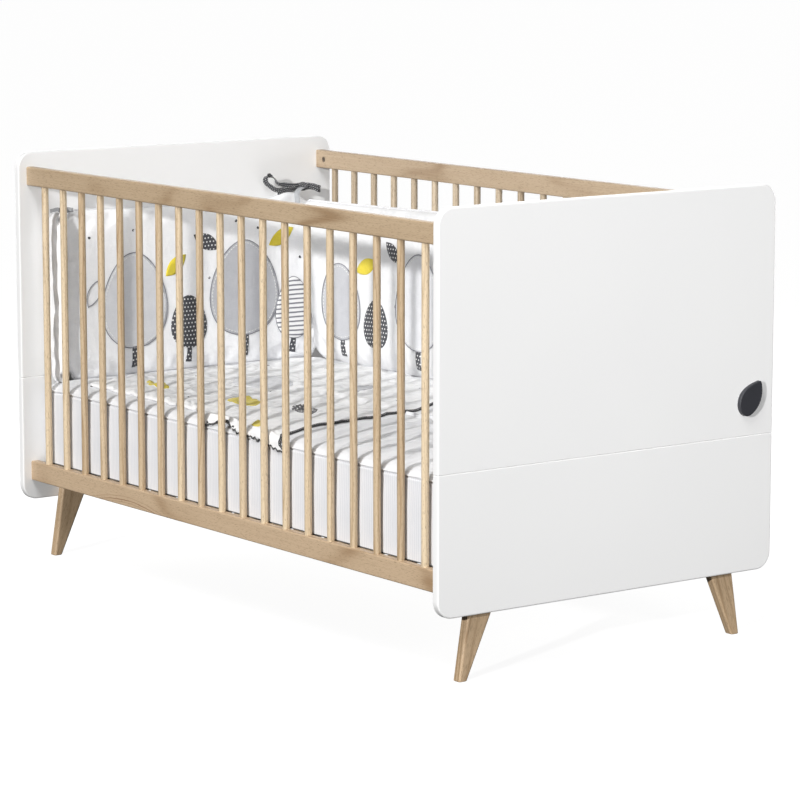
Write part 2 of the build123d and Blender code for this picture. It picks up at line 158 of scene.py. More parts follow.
def beech(name, axis, light, dark, seed, z0=0.0, ring=0.0085, tilt=0.03, bars=False, slant=0.0, arch=None):
    """Lacquered beech with its grain along one axis: soft growth rings, fine fibre and short dark rays."""
    g = Shade(name)
    x, y, z = g.xyz()
    tone = None
    if bars:  # every bar is cut from another place in the tree
        k = g.m("FLOOR", g.m("MULTIPLY_ADD", x, 1 / 0.0716, 0.5))
        r = g.white(g.m("ADD", k, seed))
        a = g.m("MULTIPLY_ADD", r, 7.0, z)
        c1 = g.m("SUBTRACT", x, g.m("MULTIPLY", k, 0.0716))
        c2 = g.m("ADD", g.m("ABSOLUTE", y), g.m("MULTIPLY", r, 0.05))
        tone = g.white(g.m("ADD", k, seed + 40.5))
    elif axis == "X":
        a, c1, c2 = g.m("ADD", x, seed * 3.7), y, g.m("SUBTRACT", z, z0)
    elif axis == "Y":
        a, c1, c2 = g.m("ADD", y, seed * 3.7), x, g.m("SUBTRACT", z, z0)
    else:
        a = g.m("ADD", z, seed * 3.7)
        c1, c2 = x, g.m("MULTIPLY_ADD", z, slant, g.m("ABSOLUTE", y))
    slow = g.noise(g.vec(g.m("MULTIPLY", a, 1.6), g.m("MULTIPLY", c1, 7.0), g.m("MULTIPLY", c2, 7.0)), 1.0, 2.0, 0.5)
    lean = g.noise(g.vec(g.m("MULTIPLY", a, 0.9), seed * 1.3, 2.0), 1.0, 1.0, 0.5)
    d2 = g.m("ADD", c2, g.m("MULTIPLY_ADD", lean, tilt * 4.0, 0.012 - tilt * 2.0))
    d1 = g.m("ADD", c1, 0.021 + 0.003 * seed)
    radius = g.m("SQRT", g.m("ADD", g.m("MULTIPLY", d1, d1), g.m("MULTIPLY", d2, d2)))
    phase = g.m("MULTIPLY", g.m("MULTIPLY_ADD", slow, 0.045, radius), TAU / ring)
    wave = g.m("MULTIPLY_ADD", g.m("SINE", phase), 0.5, 0.5)
    late = g.m("MULTIPLY_ADD", wave, 0.22, g.m("MULTIPLY", g.m("POWER", wave, 6.0), 0.85))
    patch = g.noise(g.vec(g.m("MULTIPLY", a, 2.2), g.m("MULTIPLY", c1, 18.0), g.m("MULTIPLY", c2, 18.0)), 1.0, 2.0, 0.55)
    fibre = g.noise(g.vec(g.m("MULTIPLY", a, 7.0), g.m("MULTIPLY", c1, 620.0), g.m("MULTIPLY", c2, 620.0)), 1.0, 3.0, 0.6)
    ray = g.noise(g.vec(g.m("MULTIPLY", a, 110.0), g.m("MULTIPLY", c1, 1250.0), g.m("MULTIPLY", c2, 1250.0)), 1.0, 1.0, 0.4)
    fleck = g.span(ray, 0.60, 0.70)
    amount = g.m("ADD", g.m("MULTIPLY", late, g.span(patch, 0.3, 0.75, 0.16, 0.80)), g.m("MULTIPLY_ADD", fibre, 0.7, -0.24), clamp=True)
    if tone is not None:
        amount = g.m("ADD", amount, g.m("MULTIPLY_ADD", tone, 0.75, -0.22), clamp=True)
    col = g.mix(amount, light, dark)
    deep = tuple(c * 0.62 for c in dark[:3]) + (1.0,)
    col = g.mix(g.m("MULTIPLY", fleck, 0.62), col, deep)
    if arch is not None:  # one figure of nested arches that runs out at the lower edge
        xc, half, zb, rise = arch
        u = g.m("MULTIPLY", g.m("SUBTRACT", x, xc), 1 / half)
        v = g.m("MULTIPLY", g.m("SUBTRACT", z, zb), 1 / rise)
        bend = g.noise(g.vec(g.m("MULTIPLY", x, 22.0), g.m("MULTIPLY", z, 60.0), 4.0), 1.0, 2.0, 0.5)
        q = g.m("ADD", g.m("MULTIPLY_ADD", u, u, v), g.m("MULTIPLY_ADD", bend, 0.30, -0.15))
        line = g.span(g.m("ABSOLUTE", g.m("SUBTRACT", q, 1.0)), 0.10, 0.03)
        inner = g.m("MULTIPLY", g.span(g.m("ABSOLUTE", g.m("SUBTRACT", q, 0.62)), 0.09, 0.03), 0.45)
        outer = g.m("MULTIPLY", g.span(g.m("ABSOLUTE", g.m("SUBTRACT", q, 1.55)), 0.12, 0.04), 0.35)
        figure = g.m("MULTIPLY", g.m("MAXIMUM", line, g.m("MAXIMUM", inner, outer)), g.span(bend, 0.2, 0.6, 0.45, 0.9))
        col = g.mix(figure, col, lin(134, 98, 72))
    g.set(Base_Color=col, Roughness=g.span(fibre, 0.2, 0.8, 0.42, 0.56))
    g.bsdf.inputs["IOR"].default_value = 1.45
    height = g.m("SUBTRACT", fibre, g.m("MULTIPLY", fleck, 0.8))
    g.set(Normal=g.bump(height, 0.22, 0.0004))
    return g.mat


def lacquer(name, seed):
    """White satin lacquer on board: faint orange peel, a trace of unevenness in tone."""
    g = Shade(name)
    x, y, z = g.xyz()
    p = g.vec(x, y, g.m("ADD", z, seed * 2.3))
    cloud = g.noise(p, 3.0, 2.0, 0.5)
    peel = g.noise(p, 520.0, 2.0, 0.5)
    dust = g.noise(p, 2600.0, 1.0, 0.5)
    g.set(Base_Color=g.mix(cloud, (0.855, 0.856, 0.858, 1), (0.885, 0.885, 0.883, 1)),
          Roughness=g.span(g.m("MULTIPLY_ADD", peel, 0.6, g.m("MULTIPLY", dust, 0.4)), 0.3, 0.7, 0.34, 0.44),
          Normal=g.bump(g.m("MULTIPLY_ADD", dust, 0.3, peel), 0.10, 0.0004))
    g.bsdf.inputs["IOR"].default_value = 1.47
    return g.mat


def metal(name, light, dark, rough, seed):
    g = Shade(name)
    x, y, z = g.xyz()
    p = g.vec(g.m("MULTIPLY", x, 1.0), g.m("ADD", y, seed), z)
    blot = g.noise(p, 160.0, 3.0, 0.6)
    line = g.noise(g.vec(g.m("MULTIPLY", x, 2200.0), g.m("MULTIPLY", y, 300.0), g.m("MULTIPLY", z, 2200.0)), 1.0, 2.0, 0.6)
    g.set(Base_Color=g.mix(blot, dark, light), Roughness=g.span(g.m("MULTIPLY_ADD", line, 0.5, g.m("MULTIPLY", blot, 0.5)), 0.25, 0.75, rough - 0.08, rough + 0.12),
          Normal=g.bump(line, 0.12, 0.0002))
    g.bsdf.inputs["Metallic"].default_value = 1.0
    return g.mat


def plastic(name, light, dark):
    """Matt moulded plastic with a fine spark-eroded grain."""
    g = Shade(name)
    grain = g.noise(g.co(), 1500.0, 2.0, 0.6)
    broad = g.noise(g.co(), 40.0, 2.0, 0.5)
    g.set(Base_Color=g.mix(broad, dark, light), Roughness=g.span(grain, 0.3, 0.7, 0.42, 0.62), Normal=g.bump(grain, 0.3, 0.0003))
    return g.mat


def weave(g, u, v, pitch):
    """Height of a plain weave, 0 to 1, from two lengths in metres."""
    su = g.m("SINE", g.m("MULTIPLY", u, TAU / pitch))
    sv = g.m("SINE", g.m("MULTIPLY", v, TAU / pitch))
    return g.m("MULTIPLY_ADD", g.m("MULTIPLY", su, sv), 0.5, 0.5)


def cotton(name, light, dark, pitch=0.0011, rough=0.85, sheen=0.25, crumple=0.35):
    """Woven cotton on a piece whose UV map is in metres."""
    g = Shade(name)
    u, v, _ = g.xyz(g.co("UV"))
    w = weave(g, u, v, pitch)
    slub = g.noise(g.vec(g.m("MULTIPLY", u, 900.0), g.m("MULTIPLY", v, 60.0), 0.0), 1.0, 2.0, 0.6)
    cross = g.noise(g.vec(g.m("MULTIPLY", u, 60.0), g.m("MULTIPLY", v, 900.0), 3.0), 1.0, 2.0, 0.6)
    thread = g.m("MULTIPLY_ADD", slub, 0.5, g.m("MULTIPLY", cross, 0.5))
    soft = g.noise(g.co(), 38.0, 3.0, 0.55, 0.4)
    tone = g.m("ADD", g.m("MULTIPLY", thread, 0.6), g.m("MULTIPLY", soft, 0.4))
    g.set(Base_Color=g.mix(g.span(tone, 0.3, 0.7), dark, light), Roughness=rough)
    g.bsdf.inputs["Sheen Weight"].default_value = sheen
    g.bsdf.inputs["Sheen Roughness"].default_value = 0.5
    n1 = g.bump(soft, crumple, 0.006)
    n2 = g.bump(g.m("ADD", w, thread), 0.30, 0.0004, n1)
    g.set(Normal=n2)
    return g.mat


def dotted(name, ground, ground2, dot, pitch=0.0062, size=0.30, rough=0.8):
    """Cotton with small round dots set in staggered rows."""
    g = Shade(name)
    u, v, _ = g.xyz(g.co("UV"))
    row = g.m("FLOOR", g.m("MULTIPLY", v, 1 / pitch))
    shift = g.m("MULTIPLY", g.m("FLOORED_MODULO", row, 2.0), 0.5)
    fu = g.m("SUBTRACT", g.m("FRACT", g.m("MULTIPLY_ADD", u, 1 / pitch, shift)), 0.5)
    fv = g.m("SUBTRACT", g.m("FRACT", g.m("MULTIPLY", v, 1 / pitch)), 0.5)
    r = g.m("SQRT", g.m("ADD", g.m("MULTIPLY", fu, fu), g.m("MULTIPLY", fv, fv)))
    mask = g.span(r, size + 0.05, size - 0.05)
    slub = g.noise(g.vec(g.m("MULTIPLY", u, 900.0), g.m("MULTIPLY", v, 90.0), 0.0), 1.0, 2.0, 0.6)
    w = weave(g, u, v, 0.0011)
    g.set(Base_Color=g.mix(mask, g.mix(slub, ground, ground2), dot), Roughness=rough, Normal=g.bump(g.m("ADD", w, slub), 0.3, 0.0004))
    g.bsdf.inputs["Sheen Weight"].default_value = 0.2
    return g.mat


def striped(name, a, b, pitch=0.009, share=0.3, across=False, rough=0.85):
    g = Shade(name)
    u, v, _ = g.xyz(g.co("UV"))
    t = g.m("FRACT", g.m("MULTIPLY", u if across else v, 1 / pitch))
    wob = g.m("MULTIPLY_ADD", g.noise(g.co("UV"), 60.0, 1.0, 0.5), 0.12, -0.06)
    mask = g.span(g.m("ABSOLUTE", g.m("SUBTRACT", g.m("ADD", t, wob), 0.5)), share / 2 + 0.04, share / 2 - 0.04)
    slub = g.noise(g.vec(g.m("MULTIPLY", u, 900.0), g.m("MULTIPLY", v, 90.0), 0.0), 1.0, 2.0, 0.6)
    ground = g.mix(slub, tuple(c * 0.93 for c in a[:3]) + (1.0,), a)
    g.set(Base_Color=g.mix(mask, ground, b), Roughness=rough, Normal=g.bump(g.m("ADD", weave(g, u, v, 0.0011), slub), 0.3, 0.0004))
    g.bsdf.inputs["Sheen Weight"].default_value = 0.2
    return g.mat


def knit(name, pitch, light, dark, strength, crumple, gap_shade=None):
    """Ribbed knit on a piece whose UV map is in metres: ribs run along v, loops show along each rib."""
    g = Shade(name)
    u, v, _ = g.xyz(g.co("UV"))
    wob = g.m("MULTIPLY_ADD", g.noise(g.vec(g.m("MULTIPLY", u, 30.0), g.m("MULTIPLY", v, 14.0), 1.0), 1.0, 2.0, 0.5), 0.0012, u)
    rib = g.m("MULTIPLY_ADD", g.m("SINE", g.m("MULTIPLY", wob, TAU / pitch)), 0.5, 0.5)
    loop = g.m("MULTIPLY_ADD", g.m("SINE", g.m("MULTIPLY", v, TAU / 0.0021)), 0.5, 0.5)
    fuzz = g.noise(g.co(), 900.0, 2.0, 0.6)
    soft = g.noise(g.co(), 30.0, 3.0, 0.5, 0.3)
    h = g.m("ADD", g.m("MULTIPLY_ADD", loop, 0.25, g.m("POWER", rib, 0.6)), g.m("MULTIPLY", fuzz, 0.35))
    tone = g.m("MULTIPLY_ADD", rib, 0.6, g.m("MULTIPLY", fuzz, 0.4))
    col = g.mix(tone, dark, light)
    if gap_shade is not None:  # painted shadow: a dark grey band round the lower edge stands for the shade in the slot between mattress and rail
        col = g.mix(g.span(g.xyz()[2], gap_shade[0], gap_shade[1]), lin(74, 72, 70), col)
    g.set(Base_Color=col, Roughness=0.9,
          Normal=g.bump(h, strength, 0.0010, g.bump(soft, crumple, 0.006)))
    g.bsdf.inputs["Sheen Weight"].default_value = 0.3
    g.bsdf.inputs["Sheen Roughness"].default_value = 0.5
    return g.mat


def foam(name):
    g = Shade(name)
    cell = g.noise(g.co(), 900.0, 3.0, 0.7)
    g.set(Base_Color=g.mix(cell, lin(214, 206, 180), lin(232, 226, 204)), Roughness=0.95, Normal=g.bump(cell, 0.5, 0.0008))
    return g.mat


BEECH_L, BEECH_D = lin(187, 165, 137), lin(148, 122, 93)
LOW_L, LOW_D = lin(198, 174, 145), lin(160, 132, 102)
# painted shade: the back rails take a darker copy of the front beech, to darken them as if in shade
BACK_SHADED_L, BACK_SHADED_D = lin(180, 160, 135), lin(144, 120, 94)
BAR_L, BAR_D = lin(224, 204, 173), lin(170, 144, 112)
LEG_L, LEG_D = lin(192, 167, 136), lin(148, 120, 89)
# painted light: the head pad's white cotton is set brighter than plain white, to stand in for light it does not get
WHITE_COTTON_LIT = (lin(247, 247, 248), lin(237, 238, 240))

for k, n in enumerate(("head_upper_board", "head_lower_board", "foot_upper_board", "foot_lower_board")):
    nodes[n].data.materials.clear()
    nodes[n].data.materials.append(lacquer("white_lacquer_%d" % k, k))


def dress(node, mat):
    nodes[node].data.materials.clear()
    nodes[node].data.materials.append(mat)


dress("front_top_rail", beech("beech_front_top", "X", BEECH_L, BEECH_D, 1, 0.790, 0.0072, 0.030))
dress("front_bottom_rail", beech("beech_front_low", "X", LOW_L, LOW_D, 2, 0.181, 0.0125, 0.024, arch=(-0.330, 0.110, 0.1615, 0.0125)))
dress("back_top_rail", beech("beech_back_top", "X", BACK_SHADED_L, BACK_SHADED_D, 3, 0.790, 0.0072, 0.030))
dress("back_bottom_rail", beech("beech_back_low", "X", BACK_SHADED_L, BACK_SHADED_D, 4, 0.181, 0.0110, 0.024))
dress("front_bars", beech("beech_front_bars", "Z", BAR_L, BAR_D, 5, ring=0.006, tilt=0.004, bars=True))
# painted shade: the back bars take a darker copy of the bar beech, to keep them dark under the back lamp
dress("back_bars", beech("beech_back_bars_shaded", "Z", lin(194, 178, 155), lin(148, 130, 107), 61, ring=0.006, tilt=0.004, bars=True))
for k, n in enumerate(("head_front_leg", "head_back_leg", "foot_front_leg", "foot_back_leg")):
    dress(n, beech("beech_" + n, "Z", LEG_L, LEG_D, 6 + k, ring=0.0075, tilt=0.006, slant=0.31))
BASE_L, BASE_D = lin(208, 186, 152), lin(174, 146, 108)
for k, n in enumerate(("base_front_rail", "base_back_rail", "base_centre_rail")):
    dress(n, beech("plain_" + n, "X", BASE_L, BASE_D, 11 + k, 0.179, 0.009, 0.02))
for k, n in enumerate(("base_head_rail", "base_foot_rail", "base_slats")):
    dress(n, beech("plain_" + n, "Y", BASE_L, BASE_D, 15 + k, 0.19, 0.012, 0.02))
dowel = beech("plain_dowels", "X", BASE_L, BASE_D, 19, 0.4, 0.006, 0.004)
dress("rail_dowels", dowel)
dress("seam_dowels", dowel)
zinc = metal("zinc_plate", (0.66, 0.66, 0.63, 1), (0.46, 0.46, 0.43, 1), 0.34, 1)
dark_zinc = metal("dark_zinc", (0.30, 0.25, 0.20, 1), (0.17, 0.14, 0.11, 1), 0.42, 2)
for n in ("knob_screw", "cam_pins", "joining_plates", "plate_screws", "leg_bolts", "leg_inserts", "base_inserts",
          "bracket_bolts", "base_brackets", "slat_screws", "base_corner_screws"):
    dress(n, zinc)
dress("cam_nuts", dark_zinc)
dress("drop_knob", plastic("charcoal_plastic", lin(50, 51, 57), lin(42, 43, 48)))
dress("mattress_core", foam("cut_foam"))


# ------------------------------------------------------------------ mesh helpers
def make(name, verts, faces, mats, uv=None, face_mat=None, smooth=True):
    me = bpy.data.meshes.new(name)
    me.from_pydata(np.asarray(verts, float).tolist(), [], [tuple(int(i) for i in f) for f in faces])
    for mt in mats if isinstance(mats, (list, tuple)) else [mats]:
        me.materials.append(mt)
    if face_mat is not None:
        me.polygons.foreach_set("material_index", np.asarray(face_mat, np.int32))
    me.polygons.foreach_set("use_smooth", np.full(len(me.polygons), smooth))
    if uv is not None:
        layer = me.uv_layers.new(name="UVMap")
        loops = np.zeros(len(me.loops), np.int32)
        me.loops.foreach_get("vertex_index", loops)
        layer.data.foreach_set("uv", np.asarray(uv, np.float32)[loops].ravel())
    me.update()
    ob = bpy.data.objects.new(name, me)
    scene.collection.objects.link(ob)
    return ob


def coords(ob):
    dg = bpy.context.evaluated_depsgraph_get()
    ev = ob.evaluated_get(dg)
    me = ev.to_mesh()
    out = np.zeros(len(me.vertices) * 3, np.float64)
    me.vertices.foreach_get("co", out)
    ev.to_mesh_clear()
    return out.reshape(-1, 3)


def outward(ob):
    """Turns the faces of a closed mesh outwards."""
    import bmesh
    bm = bmesh.new()
    bm.from_mesh(ob.data)
    bmesh.ops.recalc_face_normals(bm, faces=bm.faces)
    bm.to_mesh(ob.data)
    bm.free()
    ob.data.update()


def nz(x, y, z=0.0):
    return mnoise.noise(Vector((x, y, z)))


def run_cloth(ob, frames, pressure=None, gravity=0.0, pin=None, shrink=0.0, tension=20.0, bending=0.6, mass=0.25, collide=None, quality=6):
    """Runs a cloth simulation on ob and returns its last vertex places."""
    if pin is not None:
        vg = ob.vertex_groups.new(name="pin")
        for w in sorted(set(np.round(pin[pin > 0], 3))):
            vg.add([int(i) for i in np.nonzero(np.round(pin, 3) == w)[0]], float(w), "REPLACE")
    mod = ob.modifiers.new("cloth", "CLOTH")
    s = mod.settings
    s.quality = quality
    s.mass = mass
    s.air_damping = 2.0
    s.tension_stiffness = s.compression_stiffness = tension
    s.shear_stiffness = tension * 0.4
    s.bending_stiffness = bending
    s.shrink_min = shrink
    s.effector_weights.gravity = gravity
    if pressure is not None:
        s.use_pressure = True
        s.uniform_pressure_force = pressure
    if pin is not None:
        s.vertex_group_mass = "pin"
    mod.collision_settings.use_collision = collide is not None
    mod.collision_settings.distance_min = 0.003
    mod.collision_settings.use_self_collision = False
    mod.point_cache.frame_start, mod.point_cache.frame_end = 1, frames + 1
    if collide is not None:
        collide.modifiers.new("hit", "COLLISION")
        collide.collision.thickness_outer = 0.003
        collide.collision.cloth_friction = 12.0
    for f in range(1, frames + 1):
        scene.frame_set(f)
    out = coords(ob)
    scene.frame_set(1)
    me = ob.data
    bpy.data.objects.remove(ob)
    bpy.data.meshes.remove(me)
    if collide is not None:
        me = collide.data
        bpy.data.objects.remove(collide)
        bpy.data.meshes.remove(me)
    return out


class Grid:
    """A grid of surface points over lengths 0..A by 0..B, read at any place between its points."""

    def __init__(self, points, A, B, flip=1.0):
        self.p, self.A, self.B = points, A, B
        du = np.gradient(points, axis=0)
        dv = np.gradient(points, axis=1)
        n = np.cross(du, dv) * flip
        self.n = n / np.maximum(np.linalg.norm(n, axis=2, keepdims=True), 1e-12)

    def at(self, a, b):
        nu, nv = self.p.shape[0] - 1, self.p.shape[1] - 1
        fu, fv = min(max(a / self.A, 0), 1) * nu, min(max(b / self.B, 0), 1) * nv
        i, j = min(int(fu), nu - 1), min(int(fv), nv - 1)
        s, t = fu - i, fv - j
        out = []
        for g in (self.p, self.n):
            out.append((g[i, j] * (1 - s) + g[i + 1, j] * s) * (1 - t) + (g[i, j + 1] * (1 - s) + g[i + 1, j + 1] * s) * t)
        n = out[1] / np.linalg.norm(out[1])
        return out[0], n


def tube(name, points, radius, mat, closed=False, sides=8, flat=1.0, ups=None, uv_scale=1.0, caps=True):
    """A round or flattened tube along points. flat is its height over its width, ups the direction of its height at each point."""
    P = np.asarray(points, float)
    n = len(P)
    T = np.roll(P, -1, 0) - np.roll(P, 1, 0)
    if not closed:
        T[0], T[-1] = P[1] - P[0], P[-1] - P[-2]
    T /= np.maximum(np.linalg.norm(T, axis=1, keepdims=True), 1e-12)
    up = np.array([0, 0, 1.0])
    verts, uv, length = [], [], 0.0
    for i in range(n):
        h = np.asarray(ups[i], float) if ups is not None else up
        h = h - T[i] * (h @ T[i])
        if np.linalg.norm(h) < 1e-6:
            h = np.cross(T[i], [1.0, 0.3, 0.2])
        h /= np.linalg.norm(h)
        up = h
        w = np.cross(T[i], h)
        if i:
            length += np.linalg.norm(P[i] - P[i - 1])
        for k in range(sides):
            q = TAU * k / sides
            verts.append(P[i] + w * math.cos(q) * radius + h * math.sin(q) * radius * flat)
            uv.append((length * uv_scale, k / sides * TAU * radius))
    faces = []
    for i in range(n if closed else n - 1):
        a, b = i * sides, ((i + 1) % n) * sides
        for k in range(sides):
            k2 = (k + 1) % sides
            faces.append((a + k, a + k2, b + k2, b + k))
    if not closed and caps:
        faces.append(tuple(range(sides))[::-1])
        faces.append(tuple((n - 1) * sides + k for k in range(sides)))
    return verts, faces, uv


def join(parts):
    V, F, U, off = [], [], [], 0
    for v, f, u in parts:
        V.extend(v)
        U.extend(u)
        F.extend([tuple(i + off for i in q) for q in f])
        off += len(v)
    return V, F, U


def rounded_loop(hx, hy, r, step):
    """Points of a rounded rectangle, anticlockwise from the middle of its -Y side, with the length travelled."""
    r = max(min(r, hx, hy), 1e-5)
    pts = []
    corners = [(hx - r, -hy + r, -90), (hx - r, hy - r, 0), (-hx + r, hy - r, 90), (-hx + r, -hy + r, 180)]
    n_arc = 8
    sides = [((0, -hy), (hx - r, -hy)), ((hx, -hy + r), (hx, hy - r)), ((hx - r, hy), (-hx + r, hy)), ((-hx, hy - r), (-hx, -hy + r)), ((-hx + r, -hy), (0, -hy))]
    counts = step
    for k in range(5):
        (x0, y0), (x1, y1) = sides[k]
        n = counts[k]
        for i in range(n):
            t = i / n
            pts.append((x0 + (x1 - x0) * t, y0 + (y1 - y0) * t))
        if k < 4:
            cx, cy, a0 = corners[k]
            for i in range(n_arc):
                q = math.radians(a0 + 90 * i / n_arc)
                pts.append((cx + r * math.cos(q), cy + r * math.sin(q)))
    return np.array(pts)


# ------------------------------------------------------------------ mattress
MX, MY = 0.697, 0.347
SEAM_Z = 0.3500


def crown_height(inset):
    """Height of the top panel above the seam, from the distance in from the side."""
    r = 0.030
    if inset >= r:
        return 0.0175 + 0.0035 * (1 - math.exp(-(inset - r) / 0.05))
    return 0.0175 * math.sqrt(max(0.0, 1 - (1 - inset / r) ** 2))


def rumple(x, y):
    """Soft creases of the loose top panel, running across the bed."""
    t = x + 0.35 * y
    a = nz(t * 15 + 1.9 * nz(x * 3, y * 3, 4.0), y * 4.5 + 0.8 * nz(x * 5, y * 2, 9.0), 1.0)
    b = nz(t * 36 + 2.2 * nz(x * 7, y * 5, 5.0), y * 11.0, 7.0)
    c = nz(x * 70, y * 40, 2.0)
    ridge = max(0.0, 1 - abs(a) * 2.4) ** 2.2
    small = max(0.0, 1 - abs(b) * 2.6) ** 2.0
    return 0.0062 * (ridge - 0.3) + 0.0026 * (small - 0.3) + 0.0005 * c


def build_mattress():
    counts = (116, 112, 232, 112, 116)
    rows = []      # inset from the widest outline, height, uv length
    def row(inset, z):
        rows.append((inset, z))
    row(0.3469, 0.2004), row(0.26, 0.2004), row(0.16, 0.2004), row(0.07, 0.2004), row(0.010, 0.2004), row(0.0020, 0.2004), row(-0.0004, 0.2005)
    row(-0.0012, 0.2012)
    for i in range(15):
        t = i / 14
        row(-0.0014 + 0.0016 * t ** 3 - 0.0006 * math.sin(math.pi * t), 0.2030 + (0.3440 - 0.2030) * t)
    row(-0.0002, 0.3464), row(0.0012, 0.3482), row(0.0024, 0.3493), row(0.0028, SEAM_Z), row(0.0022, 0.3506)
    row(0.0002, 0.3514), row(-0.0012, 0.3530)
    for inset in (-0.0004, 0.0022, 0.0052, 0.0085, 0.0125, 0.0175, 0.0235, 0.030, 0.038, 0.048, 0.060, 0.074):
        z = SEAM_Z + 0.0045 + crown_height(max(inset, 0.0016)) - crown_height(0.0024) + (0.0 if inset > 0 else 0.0014)
        row(inset, z)
    for inset in np.arange(0.086, 0.3465, 0.0125):
        row(float(inset), SEAM_Z + 0.0045 + crown_height(float(inset)) - crown_height(0.0024))
    row(0.3469, SEAM_Z + 0.0045 + crown_height(0.34) - crown_height(0.0024))
    verts, uv, ring = [], [], None
    length = 0.0
    prev = None
    top_from = None
    for k, (inset, z) in enumerate(rows):
        loop = rounded_loop(MX - inset, MY - inset, max(0.032 - inset * 0.5, 0.004), counts)
        if k == 0:
            base = rounded_loop(MX, MY, 0.032, counts)
            d = np.linalg.norm(np.roll(base, -1, 0) - base, axis=1)
            ring = np.concatenate([[0], np.cumsum(d)[:-1]])
        if prev is not None:
            length += math.hypot(inset - prev[0], z - prev[1])
        prev = (inset, z)
        if top_from is None and z > SEAM_Z + 0.001:
            top_from = k
        for (x, y), s in zip(loop, ring):
            zz, out = z, 0.0
            if 0.2030 <= z <= 0.3440:      # the side bulges a little unevenly
                t = (z - 0.2030) / 0.1410
                out = 0.0016 * math.sin(math.pi * t) * nz(s * 5.0, t * 1.5, 3.0) + 0.0005 * nz(s * 26.0, t * 5.0, 8.0)
            if abs(z - SEAM_Z) < 0.018:    # puckers along the seam
                fade = max(0.0, 1 - abs(z - SEAM_Z) / 0.018)
                out += 0.0009 * fade * nz(s * 62.0, 2.0, z * 30)
            if top_from is not None and k >= top_from:
                fade = min(1.0, max(0.0, (inset - 0.004) / 0.06))
                zz += fade * rumple(x, y) + (1 - fade) * 0.0012 * nz(s * 34.0, inset * 60.0, 5.0)
            ex = math.copysign(1.0, x) if abs(x) > MX - 0.001 - inset else 0.0
            ey = math.copysign(1.0, y) if abs(y) > MY - 0.001 - inset else 0.0
            px = x + ex * out              # the ends stay clear of the plates on the boards
            verts.append((max(-0.6984, min(0.6984, px)), y + ey * out, zz))
            uv.append((s, length) if top_from is None or k < top_from else (x, y))
    per = len(ring)
    faces, fm = [], []
    for k in range(len(rows) - 1):
        for i in range(per):
            j = (i + 1) % per
            faces.append((k * per + i, k * per + j, (k + 1) * per + j, (k + 1) * per + i))
            fm.append(1 if k >= top_from else 0)
    # the narrow slits left in the middle of the underside and the top are closed from side to side
    for start, which, turn in ((0, 0, -1), ((len(rows) - 1) * per, 1, 1)):
        lo, hi = 0, per - 1
        while hi - lo > 1:
            if hi - lo == 2:
                quad = (start + lo, start + lo + 1, start + hi)
            else:
                quad = (start + lo, start + lo + 1, start + hi - 1, start + hi)
            faces.append(quad[::turn])
            fm.append(which)
            lo, hi = lo + 1, hi - 1
    return np.array(verts), faces, np.array(uv), fm


# painted shade: the side knit is a darker copy of the top knit, set down to offset the strong light on the front side
# painted shadow: a dark band along the lower edge of the side stands for the shade in the slot between mattress and
# rail
knit_side_shaded = knit("white_knit_side", 0.0056, lin(228, 229, 232), lin(208, 209, 214), 0.36, 0.10, gap_shade=(0.2026, 0.2036))
knit_top = knit("white_knit_top", 0.0048, lin(236, 237, 239), lin(218, 219, 223), 0.35, 0.30)
mv, mf, muv, mfm = build_mattress()
mattress = make("mattress", mv, mf, [knit_side_shaded, knit_top], muv, mfm)
sub = mattress.modifiers.new("smooth", "SUBSURF")
sub.levels = sub.render_levels = 1
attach(mattress, "mattress")
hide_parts("mattress_cover")

def top_z(x, y):
    """Height of the mattress top at a place."""
    inset = min(MX - abs(x), MY - abs(y))
    inset = max(inset, 0.0024)
    z = SEAM_Z + 0.0045 + crown_height(inset) - crown_height(0.0024)
    fade = min(1.0, max(0.0, (inset - 0.004) / 0.06))
    return z + fade * rumple(x, y)


# ------------------------------------------------------------------ bumper pads
white_pad = cotton("bumper_cotton", *WHITE_COTTON_LIT, crumple=0.30)
# painted shade: the back pad is a darker copy of the same white cotton
back_white_shaded = cotton("bumper_cotton_back_shaded", lin(228, 228, 229), lin(215, 216, 218), crumple=0.34)


def pad_shape(width, height, thick, nu, nv, edge, seed):
    """A stuffed panel in its own lengths: a along, b up, w through. Two sheets that close to a narrow edge; build_pad
    joins them with a strip.
    """
    e = thick * edge / 2
    sheets = []
    for side in (1, -1):
        P = np.zeros((nu + 1, nv + 1, 3))
        for i in range(nu + 1):
            for j in range(nv + 1):
                a, b = i / nu, j / nv
                full = (1 - abs(2 * a - 1) ** 9) * (1 - abs(2 * b - 1) ** 7)
                w = e + (thick * 0.5 * 0.86 - e) * full ** 0.6
                w += full * (0.0030 * nz(a * width * 9 + seed, b * height * 4, side * 3.0) + 0.0012 * nz(a * width * 24, b * height * 15, side + seed))
                ra = 0.016 * (abs(2 * b - 1) ** 12)  # soft corners
                rb = 0.016 * (abs(2 * a - 1) ** 30)
                P[i, j] = (a * width + (ra if a < 0.5 else -ra) * (abs(2 * a - 1) ** 30), b * height + (rb if b < 0.5 else -rb) * (abs(2 * b - 1) ** 12), side * w)
        sheets.append(P)
    return sheets


